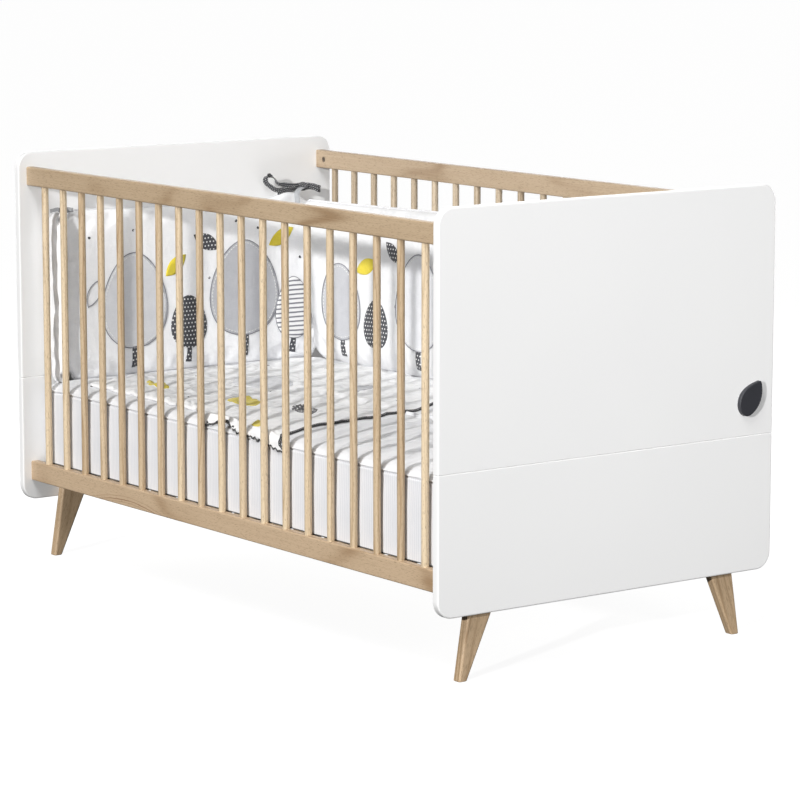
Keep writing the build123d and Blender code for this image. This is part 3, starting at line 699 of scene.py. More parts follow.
def build_pad(name, width, height, thick, nu, nv, place, seed, pressure=2.5, shrink=-0.035, frames=16, mat=None):
    """Makes a pad, swells it as cloth over its stuffing, and puts it in the room. place turns (a, b, w) into metres."""
    sheets = pad_shape(width, height, thick, nu, nv, 0.42, seed)
    n1 = (nu + 1) * (nv + 1)
    verts = np.concatenate([sheets[0].reshape(-1, 3), sheets[1].reshape(-1, 3)])
    idx = lambda i, j, s: s * n1 + i * (nv + 1) + j
    faces = []
    for i in range(nu):
        for j in range(nv):
            faces.append((idx(i, j, 0), idx(i + 1, j, 0), idx(i + 1, j + 1, 0), idx(i, j + 1, 0)))
            faces.append((idx(i, j, 1), idx(i, j + 1, 1), idx(i + 1, j + 1, 1), idx(i + 1, j, 1)))
    border = [(i, 0) for i in range(nu)] + [(nu, j) for j in range(nv)] + [(i, nv) for i in range(nu, 0, -1)] + [(0, j) for j in range(nv, 0, -1)]
    mid = []
    for i, j in border:
        m = (verts[idx(i, j, 0)] + verts[idx(i, j, 1)]) / 2
        out = np.array([(-1 if i == 0 else 1 if i == nu else 0), (-1 if j == 0 else 1 if j == nv else 0), 0.0])
        mid.append(m + out / np.linalg.norm(out) * 0.0035)
    m0 = len(verts)
    verts = np.concatenate([verts, np.array(mid)])
    nb = len(border)
    for k in range(nb):
        (i, j), (i2, j2) = border[k], border[(k + 1) % nb]
        a, b = idx(i, j, 0), idx(i2, j2, 0)
        c, d = idx(i, j, 1), idx(i2, j2, 1)
        faces.append((b, a, m0 + k, m0 + (k + 1) % nb))
        faces.append((m0 + (k + 1) % nb, m0 + k, c, d))
    pin = np.zeros(len(verts))
    for i, j in border:
        pin[idx(i, j, 0)] = pin[idx(i, j, 1)] = 1.0
    pin[m0:] = 1.0
    trial = make("trial_" + name, verts, faces, [])
    moved = run_cloth(trial, frames, pressure=pressure, pin=pin, shrink=shrink, tension=18.0, bending=0.35, mass=0.2)
    step = moved - verts
    size = np.linalg.norm(step, axis=1, keepdims=True)
    cap = 0.012
    step *= np.minimum(1.0, cap / np.maximum(size, 1e-9))
    moved = verts + step
    lim = thick * 0.52
    w = moved[:, 2]
    moved[:, 2] = np.where(np.abs(w) > lim * 0.8, np.sign(w) * (lim * 0.8 + (lim * 0.2) * np.tanh((np.abs(w) - lim * 0.8) / (lim * 0.2))), w)
    verts = moved
    world = np.array([place(*v) for v in verts])
    uv = np.concatenate([np.stack([verts[:n1, 0], verts[:n1, 1]], 1), np.stack([verts[n1:m0, 0], verts[n1:m0, 1]], 1), np.stack([verts[m0:, 0], verts[m0:, 1]], 1)])
    ob = make(name, world, faces, mat or white_pad, uv)
    outward(ob)
    sub = ob.modifiers.new("smooth", "SUBSURF")
    sub.levels = sub.render_levels = 1
    front = world[:n1].reshape(nu + 1, nv + 1, 3)
    rim = world[m0:]
    return ob, front, rim


def pad_piece(ob, body, node):
    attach(ob, body)
    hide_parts(node)


PAD_Z = 0.3690
# head pad: a runs along +Y, its printed side faces the foot end
HEAD_Y0, HEAD_W, HEAD_H, HEAD_T = -0.300, 0.636, 0.346, 0.036


def head_place(a, b, w):
    t = a / HEAD_W
    up = max(0.0, b / HEAD_H)
    peak = 0.011 * math.exp(-((t - 0.880) / 0.045) ** 2) * up ** 3
    tuck = min(1.0, max(0.0, (t - 0.90) / 0.08))          # its end goes down behind the back pad
    sag = -0.006 * math.sin(math.pi * t) * up ** 2 - 0.016 * tuck * tuck * (3 - 2 * tuck) * up ** 3
    lean = -0.006 * (b / HEAD_H)
    return (-0.6745 + w + lean, HEAD_Y0 + a, PAD_Z + b + peak + sag)


# back pad: a runs along -X from its foot end, so that its printed side faces the front
BACK_X0, BACK_W, BACK_H, BACK_T = -0.657, 0.975, 0.342, 0.038


def back_place(a, b, w):
    t = a / BACK_W
    peak = 0.010 * max(0.0, (0.06 - t) / 0.06) ** 2 * max(0.0, b / BACK_H) ** 3
    sag = -0.003 * (1 + math.sin(t * 9.0)) * (b / BACK_H) ** 2
    up = max(0.0, b / BACK_H)
    s = min(1.0, max(0.0, 1 - a / 0.24))
    lean = 0.004 * up - 0.041 * up ** 1.3 * s * s * (3 - 2 * s)   # the corner leans in at the top
    return (BACK_X0 + a, 0.3205 - w + lean, PAD_Z + b + peak + sag)


def front_place(a, b, w):
    lean = -0.002 * (b / 0.344)
    return (-0.6865 + a, -0.3205 + w + lean, PAD_Z + b)


bumper_head, head_front, head_rim = build_pad("bumper_head_pad", HEAD_W, HEAD_H, HEAD_T, 70, 40, head_place, 1.0)
bumper_back, back_front, back_rim = build_pad("bumper_back_pad", BACK_W, BACK_H, BACK_T, 100, 38, back_place, 5.0, mat=back_white_shaded)
bumper_front, front_front, front_rim = build_pad("bumper_front_pad", 0.042, 0.342, 0.028, 7, 40, front_place, 9.0)
pad_piece(bumper_head, "bumper", "bumper_head")
pad_piece(bumper_back, "bumper", "bumper_back")
pad_piece(bumper_front, "bumper", "bumper_front")
seam_mat = cotton("bumper_piping", lin(238, 238, 239), lin(212, 213, 216), 0.0009)
for nm, rim in (("head", head_rim), ("back", back_rim), ("front", front_rim)):
    v, f, u = tube("x", rim, 0.0019, None, closed=True, sides=6)
    ob = make("bumper_%s_piping" % nm, v, f, seam_mat, u)
    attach(ob, "bumper")


# ------------------------------------------------------------------ quilt
def foot_edge(y):
    ys = [-0.372, -0.358, -0.293, -0.195, -0.109, -0.022, 0.085, 0.300]
    xs = [0.214, 0.208, 0.163, 0.139, 0.130, 0.107, 0.070, 0.010]
    return float(np.interp(y, ys, xs))


QA, QB = 0.78, 0.70      # lengths of the quilt's cut cloth, head to foot and back to front
QNU, QNV = 104, 92


def lie(x, s):
    """A place on the mattress, s metres from the back edge of the quilt towards the front and over the crown."""
    y = 0.278 - s
    lift = 0.0042
    crown = -MY + 0.030
    if y >= crown:
        return x, y, top_z(x, y) + lift
    q = (crown - y) / 0.0425          # over the rounded edge, then down the side
    if q < 1:
        ang = q * math.pi / 2
        return x, crown - (0.0295 + 0.002) * math.sin(ang), SEAM_Z + 0.0010 + (0.0245 + lift - 0.001) * math.cos(ang)
    return x, -MY - 0.0015, SEAM_Z + 0.0010 - (q - 1) * 0.0425


def build_quilt():
    P = np.zeros((QNU + 1, QNV + 1, 3))
    for j in range(QNV + 1):
        b = j / QNV
        for i in range(QNU + 1):
            a = i / QNU
            s = b * 0.647
            y = 0.278 - s
            x1 = foot_edge(y) - 0.006
            x0 = -0.606 + 0.010 * math.sin(b * 7.0)
            x = x0 + (x1 - x0) * a
            # the front edge is drawn up in places
            back = 0.0
            if b > 0.8:
                k = (b - 0.8) / 0.2
                back = k * k * (0.030 * math.exp(-((x + 0.02) / 0.055) ** 2) + 0.012 * math.exp(-((x - 0.10) / 0.05) ** 2))
            # towards the head its front edge stops short of the mattress edge
            back += 0.062 * b ** 6 * min(1.0, max(0.0, (-0.07 - x) / 0.10))
            X, Y, Z = lie(x, s - back)
            P[i, j] = (X, Y, Z + 0.002 + 0.004 * abs(nz(x * 14 + 2.0 * nz(y * 6, x * 4, 2.0), y * 6, 3.0)))
    return P


quilt_start = build_quilt()
quilt_pts = quilt_start
qv = quilt_start.reshape(-1, 3)
qi = lambda i, j: i * (QNV + 1) + j
qf = [(qi(i, j), qi(i + 1, j), qi(i + 1, j + 1), qi(i, j + 1)) for i in range(QNU) for j in range(QNV)]
trial = make("trial_quilt", qv, qf, [])
ground = make("trial_ground", mv, mf, [])
pin = np.zeros(len(qv))
for i in range(0, QNU + 1):
    for j in (QNV,):
        pin[qi(i, j)] = 0.55
for j in range(0, QNV + 1, 1):
    pin[qi(0, j)] = 0.7
moved = run_cloth(trial, 26, gravity=1.0, pin=pin, shrink=-0.085, tension=12.0, bending=0.7, mass=0.35, collide=ground, quality=7)
step = moved - qv
size = np.linalg.norm(step, axis=1, keepdims=True)
cap = 0.030
step *= np.minimum(1.0, cap / np.maximum(size, 1e-9))
moved = qv + step
quilt_pts = moved.reshape(QNU + 1, QNV + 1, 3)
quilt_pts = quilt_pts.copy()
quilt_pts[..., 1] = np.maximum(quilt_pts[..., 1], -0.3492)
for i in range(QNU + 1):
    for j in range(QNV + 1):
        x, y, z = quilt_pts[i, j]
        if y > -MY + 0.006:
            quilt_pts[i, j, 2] = max(z, top_z(x, y) + 0.0036)
# the free edge at the foot lies down on the mattress
for i in range(QNU - 12, QNU + 1):
    k = ((i - (QNU - 12)) / 12) ** 1.5
    for j in range(QNV + 1):
        x, y, z = quilt_pts[i, j]
        if y > -MY + 0.02:
            quilt_pts[i, j, 2] = z + k * 0.85 * (top_z(x, y) + 0.0030 - z)
# there the hem is turned under, so that its binding is out of sight
for i in range(QNU + 1):
    turn = min(1.0, max(0.0, (-0.09 - quilt_pts[i, QNV - 4, 0]) / 0.06))
    if turn > 0:
        for k in range(3):
            j = QNV - 2 + k
            x, y, z = quilt_pts[i, QNV - 3]
            yy = y - 0.003 + 0.0035 * k
            goal = np.array([quilt_pts[i, j, 0], yy, top_z(x, yy) + 0.0030 - 0.0006 * k])
            quilt_pts[i, j] += turn * (goal - quilt_pts[i, j])
for i in range(QNU + 1):
    fade = min(1.0, (QNU - i) / 10)
    for k in range(3):
        j = 2 - k
        x, y, z = quilt_pts[i, 3]
        yy = y + 0.003 - 0.0035 * k
        goal = np.array([quilt_pts[i, j, 0], yy, top_z(x, yy) + 0.0030 - 0.0006 * k])
        quilt_pts[i, j] += fade * (goal - quilt_pts[i, j])
for j in range(QNV + 1):
    for k in range(3):
        i = 2 - k
        x, y, z = quilt_pts[3, j]
        xx = x - 0.003 + 0.0035 * k
        goal = np.array([xx, quilt_pts[i, j, 1], top_z(xx, y) + 0.0030 - 0.0006 * k])
        quilt_pts[i, j] += goal - quilt_pts[i, j]
quilt_grid = Grid(quilt_pts, QA, QB, flip=-1.0)
if quilt_grid.n[..., 2].mean() < 0:
    quilt_grid = Grid(quilt_pts, QA, QB, flip=1.0)


def quilt_mesh(half):
    n = quilt_grid.n
    top = quilt_pts + n * half
    low = quilt_pts - n * half
    n1 = (QNU + 1) * (QNV + 1)
    verts = np.concatenate([top.reshape(-1, 3), low.reshape(-1, 3)])
    qi = lambda i, j, s: s * n1 + i * (QNV + 1) + j
    faces = []
    for i in range(QNU):
        for j in range(QNV):
            faces.append((qi(i, j, 0), qi(i + 1, j, 0), qi(i + 1, j + 1, 0), qi(i, j + 1, 0)))
            faces.append((qi(i, j, 1), qi(i, j + 1, 1), qi(i + 1, j + 1, 1), qi(i + 1, j, 1)))
    border = [(i, 0) for i in range(QNU)] + [(QNU, j) for j in range(QNV)] + [(i, QNV) for i in range(QNU, 0, -1)] + [(0, j) for j in range(QNV, 0, -1)]
    for k in range(len(border)):
        (i, j), (i2, j2) = border[k], border[(k + 1) % len(border)]
        faces.append((qi(i2, j2, 0), qi(i, j, 0), qi(i, j, 1), qi(i2, j2, 1)))
    uv = [((i / QNU) * QA, (j / QNV) * QB) for i in range(QNU + 1) for j in range(QNV + 1)] * 2
    return verts, faces, uv, border


qverts, qfaces, quv, qborder = quilt_mesh(0.0018)
quilt = make("quilt_cloth", qverts, qfaces, cotton("quilt_cotton", lin(242, 242, 242), lin(228, 229, 231), crumple=0.45), quv)
outward(quilt)
sub = quilt.modifiers.new("smooth", "SUBSURF")
sub.levels = sub.render_levels = 1
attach(quilt, "quilt")
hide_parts("quilt")

ribbon_mat = dotted("dotted_ribbon", lin(38, 39, 43), lin(48, 49, 54), lin(220, 220, 220), pitch=0.0046, size=0.17)
binding_mat = dotted("dotted_binding", lin(36, 37, 40), lin(46, 47, 51), lin(214, 214, 214), pitch=0.0046, size=0.14)
rim_pts = np.array([quilt_pts[i, j] for i, j in qborder])
rim_up = np.array([quilt_grid.n[i, j] for i, j in qborder])
v, f, u = tube("x", rim_pts, 0.0028, None, closed=True, sides=8, flat=0.95, ups=rim_up)
binding = make("quilt_binding", v, f, binding_mat, u)
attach(binding, "quilt")


# ------------------------------------------------------------------ sewn patches
GREY_L = cotton("patch_grey_light", lin(218, 219, 222), lin(205, 206, 210), crumple=0.12)
GREY_M = cotton("patch_grey", lin(190, 191, 195), lin(176, 177, 182), crumple=0.12)
YELLOW = cotton("patch_yellow", lin(224, 205, 62), lin(206, 186, 44), crumple=0.12)
CHARCOAL = dotted("patch_dotted", lin(58, 59, 64), lin(70, 71, 76), lin(226, 226, 226), pitch=0.0085, size=0.20)
STRIPED = striped("patch_striped", lin(240, 240, 240), lin(120, 121, 128), pitch=0.0095, share=0.34)
THREAD_D = cotton("thread_dark", lin(138, 139, 145), lin(118, 119, 126), 0.0006, crumple=0.0)
THREAD_L = cotton("thread_light", lin(244, 244, 240), lin(222, 222, 218), 0.0006, crumple=0.0)


def leaf(cx, cy, r, turn=0.0, fat=0.46, n=12):
    """A pointed oval."""
    out = [(r * (-1 + 2 * k / n), r * fat * (1 - (-1 + 2 * k / n) ** 2)) for k in range(n)]
    out += [(-x, -y) for x, y in out]
    c, q = math.cos(turn), math.sin(turn)
    return [(cx + x * c - y * q, cy + x * q + y * c) for x, y in out]


def crown(cx, base, w, h, n=36):
    """An egg standing on its wide end, for the top of a tree."""
    out = []
    for k in range(n):
        q = TAU * k / n
        out.append((cx + w / 2 * math.cos(q) * (1 - 0.20 * math.sin(q)), base + h / 2 + h / 2 * math.sin(q)))
    return out


def trunk(cx, top, w):
    return [(cx - w / 2, 0.014), (cx + w / 2, 0.014), (cx + w * 0.4, top), (cx - w * 0.4, top)]


def smooth_poly(pts, rounds=2, keep=0.25):
    """Rounds the corners of a closed outline."""
    p = np.array(pts, float)
    for _ in range(rounds):
        q = np.roll(p, -1, 0)
        p = np.stack([p * (1 - keep) + q * keep, p * keep + q * (1 - keep)], 1).reshape(-1, 2)
        keep = 0.25
    return [tuple(x) for x in p]


def disc(cx, cy, rx, ry=None, n=28):
    ry = ry or rx
    return [(cx + rx * math.cos(TAU * k / n), cy + ry * math.sin(TAU * k / n)) for k in range(n)]


def patch(name, surface, outline, mat, body, height=0.0013, step=0.007, uv_turn=0.0):
    """A flat outline laid on a surface as a thin sewn-on piece with turned-down edges."""
    pts = [Vector(p) for p in outline]
    xs, ys = [p[0] for p in outline], [p[1] for p in outline]
    poly = np.array(outline)

    def inside(x, y):
        c = False
        for k in range(len(poly)):
            (x1, y1), (x2, y2) = poly[k], poly[k - 1]
            if (y1 > y) != (y2 > y) and x < (x2 - x1) * (y - y1) / (y2 - y1) + x1:
                c = not c
        return c

    seeds = []
    gx = np.arange(min(xs) + step / 2, max(xs), step)
    gy = np.arange(min(ys) + step / 2, max(ys), step)
    for i, x in enumerate(gx):
        for j, y in enumerate(gy):
            xx = x + (step / 2 if j % 2 else 0)
            if inside(xx, y) and min(math.hypot(xx - px, y - py) for px, py in outline) > step * 0.45:
                seeds.append(Vector((xx, y)))
    n = len(pts)
    v2, _, tris, orig, _, _ = delaunay_2d_cdt(pts + seeds, [(k, (k + 1) % n) for k in range(n)], [], 1, 1e-7)
    where = {}
    for new, olds in enumerate(orig):
        for o in olds:
            where[o] = new
    verts, uv = [], []
    edge = np.array(outline)
    for p in v2:
        q, nrm = surface.at(p.x, p.y)
        d = float(np.min(np.hypot(edge[:, 0] - p.x, edge[:, 1] - p.y)))
        lift = height * min(1.0, 0.62 + 0.38 * d / 0.004)
        verts.append(q + nrm * lift)
        uv.append((p.x, p.y))
    faces = [tuple(t) for t in tris]
    rim = [where[k] for k in range(n)]
    base = len(verts)
    for k in rim:
        p = v2[k]
        q, nrm = surface.at(p.x, p.y)
        verts.append(q - nrm * 0.0016)
        uv.append((p.x, p.y))
    for k in range(n):
        k2 = (k + 1) % n
        faces.append((rim[k], base + k, base + k2, rim[k2]))
    low = [len(verts) + i for i in range(len(v2))]
    for p in v2:
        q, nrm = surface.at(p.x, p.y)
        verts.append(q - nrm * 0.0016)
        uv.append((p.x, p.y))
    # the underside closes the patch
    under = {rim[k]: base + k for k in range(n)}
    for t in tris:
        faces.append(tuple(under.get(i, low[i]) for i in t)[::-1])
    ob = make(name, verts, faces, mat, uv)
    import bmesh
    bm = bmesh.new()
    bm.from_mesh(ob.data)
    bmesh.ops.delete(bm, geom=[x for x in bm.verts if not x.link_faces], context="VERTS")
    bmesh.ops.recalc_face_normals(bm, faces=bm.faces)
    bm.to_mesh(ob.data)
    bm.free()
    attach(ob, body)
    return ob


def resample(outline, step, closed=True):
    p = np.array(list(outline) + ([outline[0]] if closed else []), float)
    d = np.concatenate([[0], np.cumsum(np.hypot(*np.diff(p, axis=0).T))])
    n = max(3, int(d[-1] / step))
    t = np.linspace(0, d[-1], n + 1)
    return np.stack([np.interp(t, d, p[:, 0]), np.interp(t, d, p[:, 1])], 1)


def stitches(name, surface, lines, mat, body, lift=0.0016, dash=0.0045, gap=0.0030, radius=0.0006):
    """Running stitch along outlines, one small rounded thread for each stitch."""
    parts = []
    for line, closed in lines:
        p = resample(line, 0.0015, closed)
        d = np.concatenate([[0], np.cumsum(np.hypot(*np.diff(p, axis=0).T))])
        at = 0.0
        while at + dash <= d[-1]:
            pts, ups = [], []
            for k in range(5):
                t = at + dash * k / 4
                q, nrm = surface.at(float(np.interp(t, d, p[:, 0])), float(np.interp(t, d, p[:, 1])))
                pts.append(q + nrm * (lift - 0.0007 * abs(2 * k / 4 - 1) ** 2))
                ups.append(nrm)
            parts.append(tube("x", pts, radius, None, sides=5, ups=ups))
            at += dash + gap
    v, f, u = join(parts)
    ob = make(name, v, f, mat, u)
    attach(ob, body)
    return ob


def outline_thread(name, surface, lines, mat, body, lift=0.0012, radius=0.0009):
    parts = []
    for line, closed in lines:
        p = resample(line, 0.004, closed)
        if closed:
            p = p[:-1]
        pts, ups = [], []
        for x, y in p:
            q, nrm = surface.at(x, y)
            pts.append(q + nrm * lift)
            ups.append(nrm)
        parts.append(tube("x", pts, radius, None, closed=closed, sides=6, ups=ups))
    v, f, u = join(parts)
    ob = make(name, v, f, mat, u)
    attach(ob, body)
    return ob


def shrink_outline(outline, by):
    """The outline moved inwards."""
    p = np.array(outline, float)
    t = np.roll(p, -1, 0) - np.roll(p, 1, 0)
    nrm = np.stack([-t[:, 1], t[:, 0]], 1)
    nrm /= np.maximum(np.linalg.norm(nrm, axis=1, keepdims=True), 1e-9)
    area = 0.5 * np.sum(p[:, 0] * np.roll(p[:, 1], -1) - np.roll(p[:, 0], -1) * p[:, 1])
    return [tuple(q) for q in p + nrm * by * (1 if area > 0 else -1)]


head_grid = Grid(head_front, HEAD_W, HEAD_H)
if head_grid.n[..., 0].mean() < 0:
    head_grid = Grid(head_front, HEAD_W, HEAD_H, -1.0)
back_grid = Grid(back_front, BACK_W, BACK_H)
if back_grid.n[..., 1].mean() > 0:
    back_grid = Grid(back_front, BACK_W, BACK_H, -1.0)

# head pad: a row of trees and loose leaves
H = dict(
    tree_a=crown(0.160, 0.055, 0.155, 0.200),
    tree_b=crown(0.292, 0.045, 0.088, 0.112),
    tree_c=crown(0.432, 0.060, 0.170, 0.205),
    tree_d=crown(0.556, 0.045, 0.090, 0.130),
    leaf_a=leaf(0.262, 0.222, 0.034, 0.7),
    leaf_b=leaf(0.340, 0.268, 0.036, -0.5),
    leaf_c=leaf(0.528, 0.262, 0.034, 0.4),
    leaf_d=leaf(0.062, 0.175, 0.030, 1.1),
)
for k, (a, top, w) in enumerate(((0.160, 0.080, 0.020), (0.292, 0.060, 0.014), (0.432, 0.085, 0.022), (0.556, 0.060, 0.014))):
    patch("head_trunk_%02d" % k, head_grid, trunk(a, top, w), CHARCOAL, "bumper", height=0.0012, step=0.004)
patch("head_tree_a", head_grid, H["tree_a"], GREY_L, "bumper")
patch("head_tree_b", head_grid, H["tree_b"], CHARCOAL, "bumper", height=0.0026)
patch("head_tree_c", head_grid, H["tree_c"], GREY_M, "bumper")
patch("head_tree_d", head_grid, H["tree_d"], STRIPED, "bumper", height=0.0026)
patch("head_leaf_a", head_grid, H["leaf_a"], YELLOW, "bumper")
patch("head_leaf_b", head_grid, H["leaf_b"], CHARCOAL, "bumper")
patch("head_leaf_c", head_grid, H["leaf_c"], YELLOW, "bumper")
outline_thread("head_outlines", head_grid, [(H["tree_a"], True), (H["leaf_d"], True), (H["tree_c"], True), (H["tree_d"], True)], THREAD_D, "bumper")
stitches("head_stitches", head_grid, [(shrink_outline(H["tree_a"], 0.006), True), (shrink_outline(H["tree_c"], 0.006), True)], THREAD_L, "bumper")
for k, (a, b, r) in enumerate(((0.055, 0.290, 0.0030), (0.160, 0.302, 0.0028), (0.268, 0.312, 0.0032), (0.415, 0.308, 0.0030), (0.470, 0.290, 0.0030), (0.575, 0.215, 0.0030), (0.345, 0.190, 0.0028), (0.030, 0.110, 0.0030), (0.235, 0.130, 0.0026))):
    patch("head_dot_%02d" % k, head_grid, disc(a, b, r, n=14), CHARCOAL, "bumper", height=0.0009, step=0.004)

# back pad: more trees in another order
B = dict(
    tree_a=crown(0.125, 0.050, 0.125, 0.165),
    tree_b=crown(0.242, 0.042, 0.082, 0.105),
    tree_c=crown(0.392, 0.055, 0.155, 0.200),
    tree_d=crown(0.570, 0.050, 0.115, 0.145),
    tree_e=crown(0.752, 0.055, 0.160, 0.200),
    leaf_a=leaf(0.208, 0.215, 0.036, 0.4),
    leaf_b=leaf(0.300, 0.252, 0.032, -0.7),
    leaf_c=leaf(0.492, 0.232, 0.034, 1.0),
    leaf_d=leaf(0.655, 0.240, 0.036, 0.2),
    leaf_e=leaf(0.878, 0.180, 0.036, -0.4),
)
for k, (a, top, w) in enumerate(((0.125, 0.070, 0.017), (0.242, 0.056, 0.013), (0.392, 0.080, 0.020), (0.570, 0.068, 0.016), (0.752, 0.080, 0.020))):
    patch("back_trunk_%02d" % k, back_grid, trunk(a, top, w), CHARCOAL, "bumper", height=0.0012, step=0.004)
patch("back_tree_a", back_grid, B["tree_a"], GREY_M, "bumper", height=0.0020)
patch("back_tree_b", back_grid, B["tree_b"], CHARCOAL, "bumper", height=0.0022)
patch("back_tree_c", back_grid, B["tree_c"], GREY_L, "bumper", height=0.0020)
patch("back_tree_d", back_grid, B["tree_d"], STRIPED, "bumper", height=0.0022)
patch("back_tree_e", back_grid, B["tree_e"], GREY_M, "bumper", height=0.0020)
patch("back_leaf_a", back_grid, B["leaf_a"], YELLOW, "bumper")
patch("back_leaf_b", back_grid, B["leaf_b"], CHARCOAL, "bumper")
patch("back_leaf_c", back_grid, B["leaf_c"], YELLOW, "bumper")
patch("back_leaf_d", back_grid, B["leaf_d"], CHARCOAL, "bumper")
patch("back_leaf_e", back_grid, B["leaf_e"], YELLOW, "bumper")
outline_thread("back_outlines", back_grid, [(B["tree_a"], True), (B["tree_c"], True), (B["tree_e"], True)], THREAD_D, "bumper", lift=0.0018)
stitches("back_stitches", back_grid, [(shrink_outline(B["tree_a"], 0.006), True), (shrink_outline(B["tree_c"], 0.006), True), (shrink_outline(B["tree_e"], 0.006), True)], THREAD_L, "bumper", lift=0.0022)
for k, (a, b, r) in enumerate(((0.070, 0.290, 0.0032), (0.150, 0.300, 0.0030), (0.240, 0.292, 0.0034), (0.385, 0.300, 0.0030), (0.450, 0.290, 0.0032), (0.585, 0.290, 0.0030), (0.720, 0.292, 0.0032), (0.900, 0.282, 0.0030), (0.310, 0.140, 0.0028))):
    patch("back_dot_%02d" % k, back_grid, disc(a, b, r, n=14), CHARCOAL, "bumper", height=0.0009, step=0.004)

# quilt: a loose scatter of leaves and discs
patch("quilt_disc_a", quilt_grid, disc(0.300, 0.345, 0.080, 0.062, n=32), GREY_L, "quilt", height=0.0026)
patch("quilt_leaf_a", quilt_grid, leaf(0.640, 0.470, 0.062, 0.4), CHARCOAL, "quilt", height=0.0026)
patch("quilt_leaf_b", quilt_grid, leaf(0.500, 0.210, 0.058, 0.9), GREY_M, "quilt", height=0.0026)
patch("quilt_disc_b", quilt_grid, disc(0.470, 0.520, 0.042), YELLOW, "quilt", height=0.0026)
patch("quilt_leaf_c", quilt_grid, leaf(0.180, 0.560, 0.048, 0.1), YELLOW, "quilt", height=0.0026)
patch("quilt_leaf_d", quilt_grid, leaf(0.690, 0.630, 0.042, 0.7), YELLOW, "quilt", height=0.0026)
for k, (a, b, r) in enumerate(((0.10, 0.20, 0.004), (0.24, 0.45, 0.004), (0.40, 0.40, 0.004), (0.58, 0.36, 0.004), (0.70, 0.25, 0.004), (0.36, 0.62, 0.004), (0.57, 0.60, 0.004), (0.12, 0.40, 0.004), (0.62, 0.12, 0.004), (0.22, 0.12, 0.004), (0.42, 0.10, 0.004))):
    patch("quilt_dot_%02d" % k, quilt_grid, disc(a, b, r, n=14), CHARCOAL, "quilt", height=0.0024, step=0.005)


# ------------------------------------------------------------------ ribbon ties
def curve_through(points, n):
    """Points along a smooth line through the given ones."""
    P = np.array(points, float)
    P = np.concatenate([[2 * P[0] - P[1]], P, [2 * P[-1] - P[-2]]])
    out = []
    segs = len(P) - 3
    for s in range(segs):
        p0, p1, p2, p3 = P[s:s + 4]
        k = n if s < segs - 1 else n + 1
        for i in range(k):
            t = i / n
            out.append(0.5 * ((2 * p1) + (-p0 + p2) * t + (2 * p0 - 5 * p1 + 4 * p2 - p3) * t * t + (-p0 + 3 * p1 - 3 * p2 + p3) * t ** 3))
    return np.array(out)


def ribbon(points, sides, width, thick=0.0009, n=8, taper=None, seed=0.0):
    """A flat ribbon along a smooth line, its width along the given side directions."""
    P = curve_through(points, n)
    S = curve_through(sides, n)
    T = np.gradient(P, axis=0)
    T /= np.linalg.norm(T, axis=1, keepdims=True)
    verts, uv = [], []
    across = 6
    length = 0.0
    m = len(P)
    for i in range(m):
        s = S[i] - T[i] * (S[i] @ T[i])
        s /= np.linalg.norm(s)
        nrm = np.cross(T[i], s)
        if i:
            length += np.linalg.norm(P[i] - P[i - 1])
        w = width
        if taper is not None:
            w *= float(np.interp(i / (m - 1), taper[0], taper[1]))
        for side in (1, -1):
            for k in range(across + 1):
                t = k / across - 0.5
                cup = 0.10 * w * (t * t * 4) * math.sin(i * 0.45 + seed)
                order = t if side == 1 else -t
                verts.append(P[i] + s * w * order + nrm * (cup + side * thick / 2 * (1 - 0.5 * abs(2 * t) ** 6)))
                uv.append((length, (order + 0.5) * w))
    ring = 2 * (across + 1)
    faces = []
    for i in range(m - 1):
        for k in range(ring):
            k2 = (k + 1) % ring
            faces.append((i * ring + k, i * ring + k2, (i + 1) * ring + k2, (i + 1) * ring + k))
    faces.append(tuple(range(ring))[::-1])
    faces.append(tuple((m - 1) * ring + k for k in range(ring)))
    return verts, faces, uv


# bow where the head pad meets the back pad: an upright loop, a knot, a flat loop, two short ends
KX, KY, KZ = -0.668, 0.292, 0.7350
loop_left = ribbon(
    [(KX, KY, KZ), (-0.672, 0.270, 0.7320), (-0.675, 0.248, 0.7300), (-0.677, 0.228, 0.7320), (-0.678, 0.212, 0.7400), (-0.679, 0.203, 0.7520), (-0.679, 0.205, 0.7610), (-0.678, 0.213, 0.7625), (-0.676, 0.222, 0.7560), (-0.674, 0.232, 0.7460), (-0.671, 0.250, 0.7400), (-0.669, 0.272, 0.7385), (KX, KY, KZ + 0.003)],
    [(0.45, 0.0, 1.0), (0.45, 0.0, 1.0), (0.5, 0.0, 1.0), (0.7, -0.1, 0.8), (0.85, 0.35, 0.45), (0.9, 0.45, 0.1), (0.85, 0.3, 0.5), (0.75, -0.1, 0.75), (0.8, -0.45, 0.2), (0.75, -0.4, 0.5), (0.5, 0.0, 1.0), (0.45, 0.0, 1.0), (0.45, 0.0, 1.0)], 0.0125, seed=0.4)
loop_right = ribbon(
    [(KX, KY, KZ), (-0.661, 0.299, 0.7375), (-0.655, 0.307, 0.7365), (-0.650, 0.315, 0.7330), (-0.648, 0.321, 0.7300), (-0.651, 0.325, 0.7300), (-0.657, 0.320, 0.7330), (-0.663, 0.308, 0.7350), (KX, KY + 0.004, KZ)],
    [(0.2, -0.1, 1.0)] * 9, 0.0135, seed=1.9)
tail_a = ribbon(
    [(KX, KY, KZ), (-0.658, 0.2780, 0.7320), (-0.6495, 0.2640, 0.7245), (-0.6445, 0.2610, 0.7090), (-0.6435, 0.2620, 0.6900), (-0.6440, 0.2635, 0.6760)],
    [(0.55, 0.83, 0.0)] * 6, 0.011, seed=2.6)
tail_b = ribbon(
    [(KX, KY, KZ), (-0.670, 0.278, 0.7365), (-0.673, 0.262, 0.7330), (-0.675, 0.246, 0.7275), (-0.676, 0.232, 0.7262)],
    [(0.4, 0, 1.0)] * 5, 0.0115, seed=3.2)
knot_parts = []
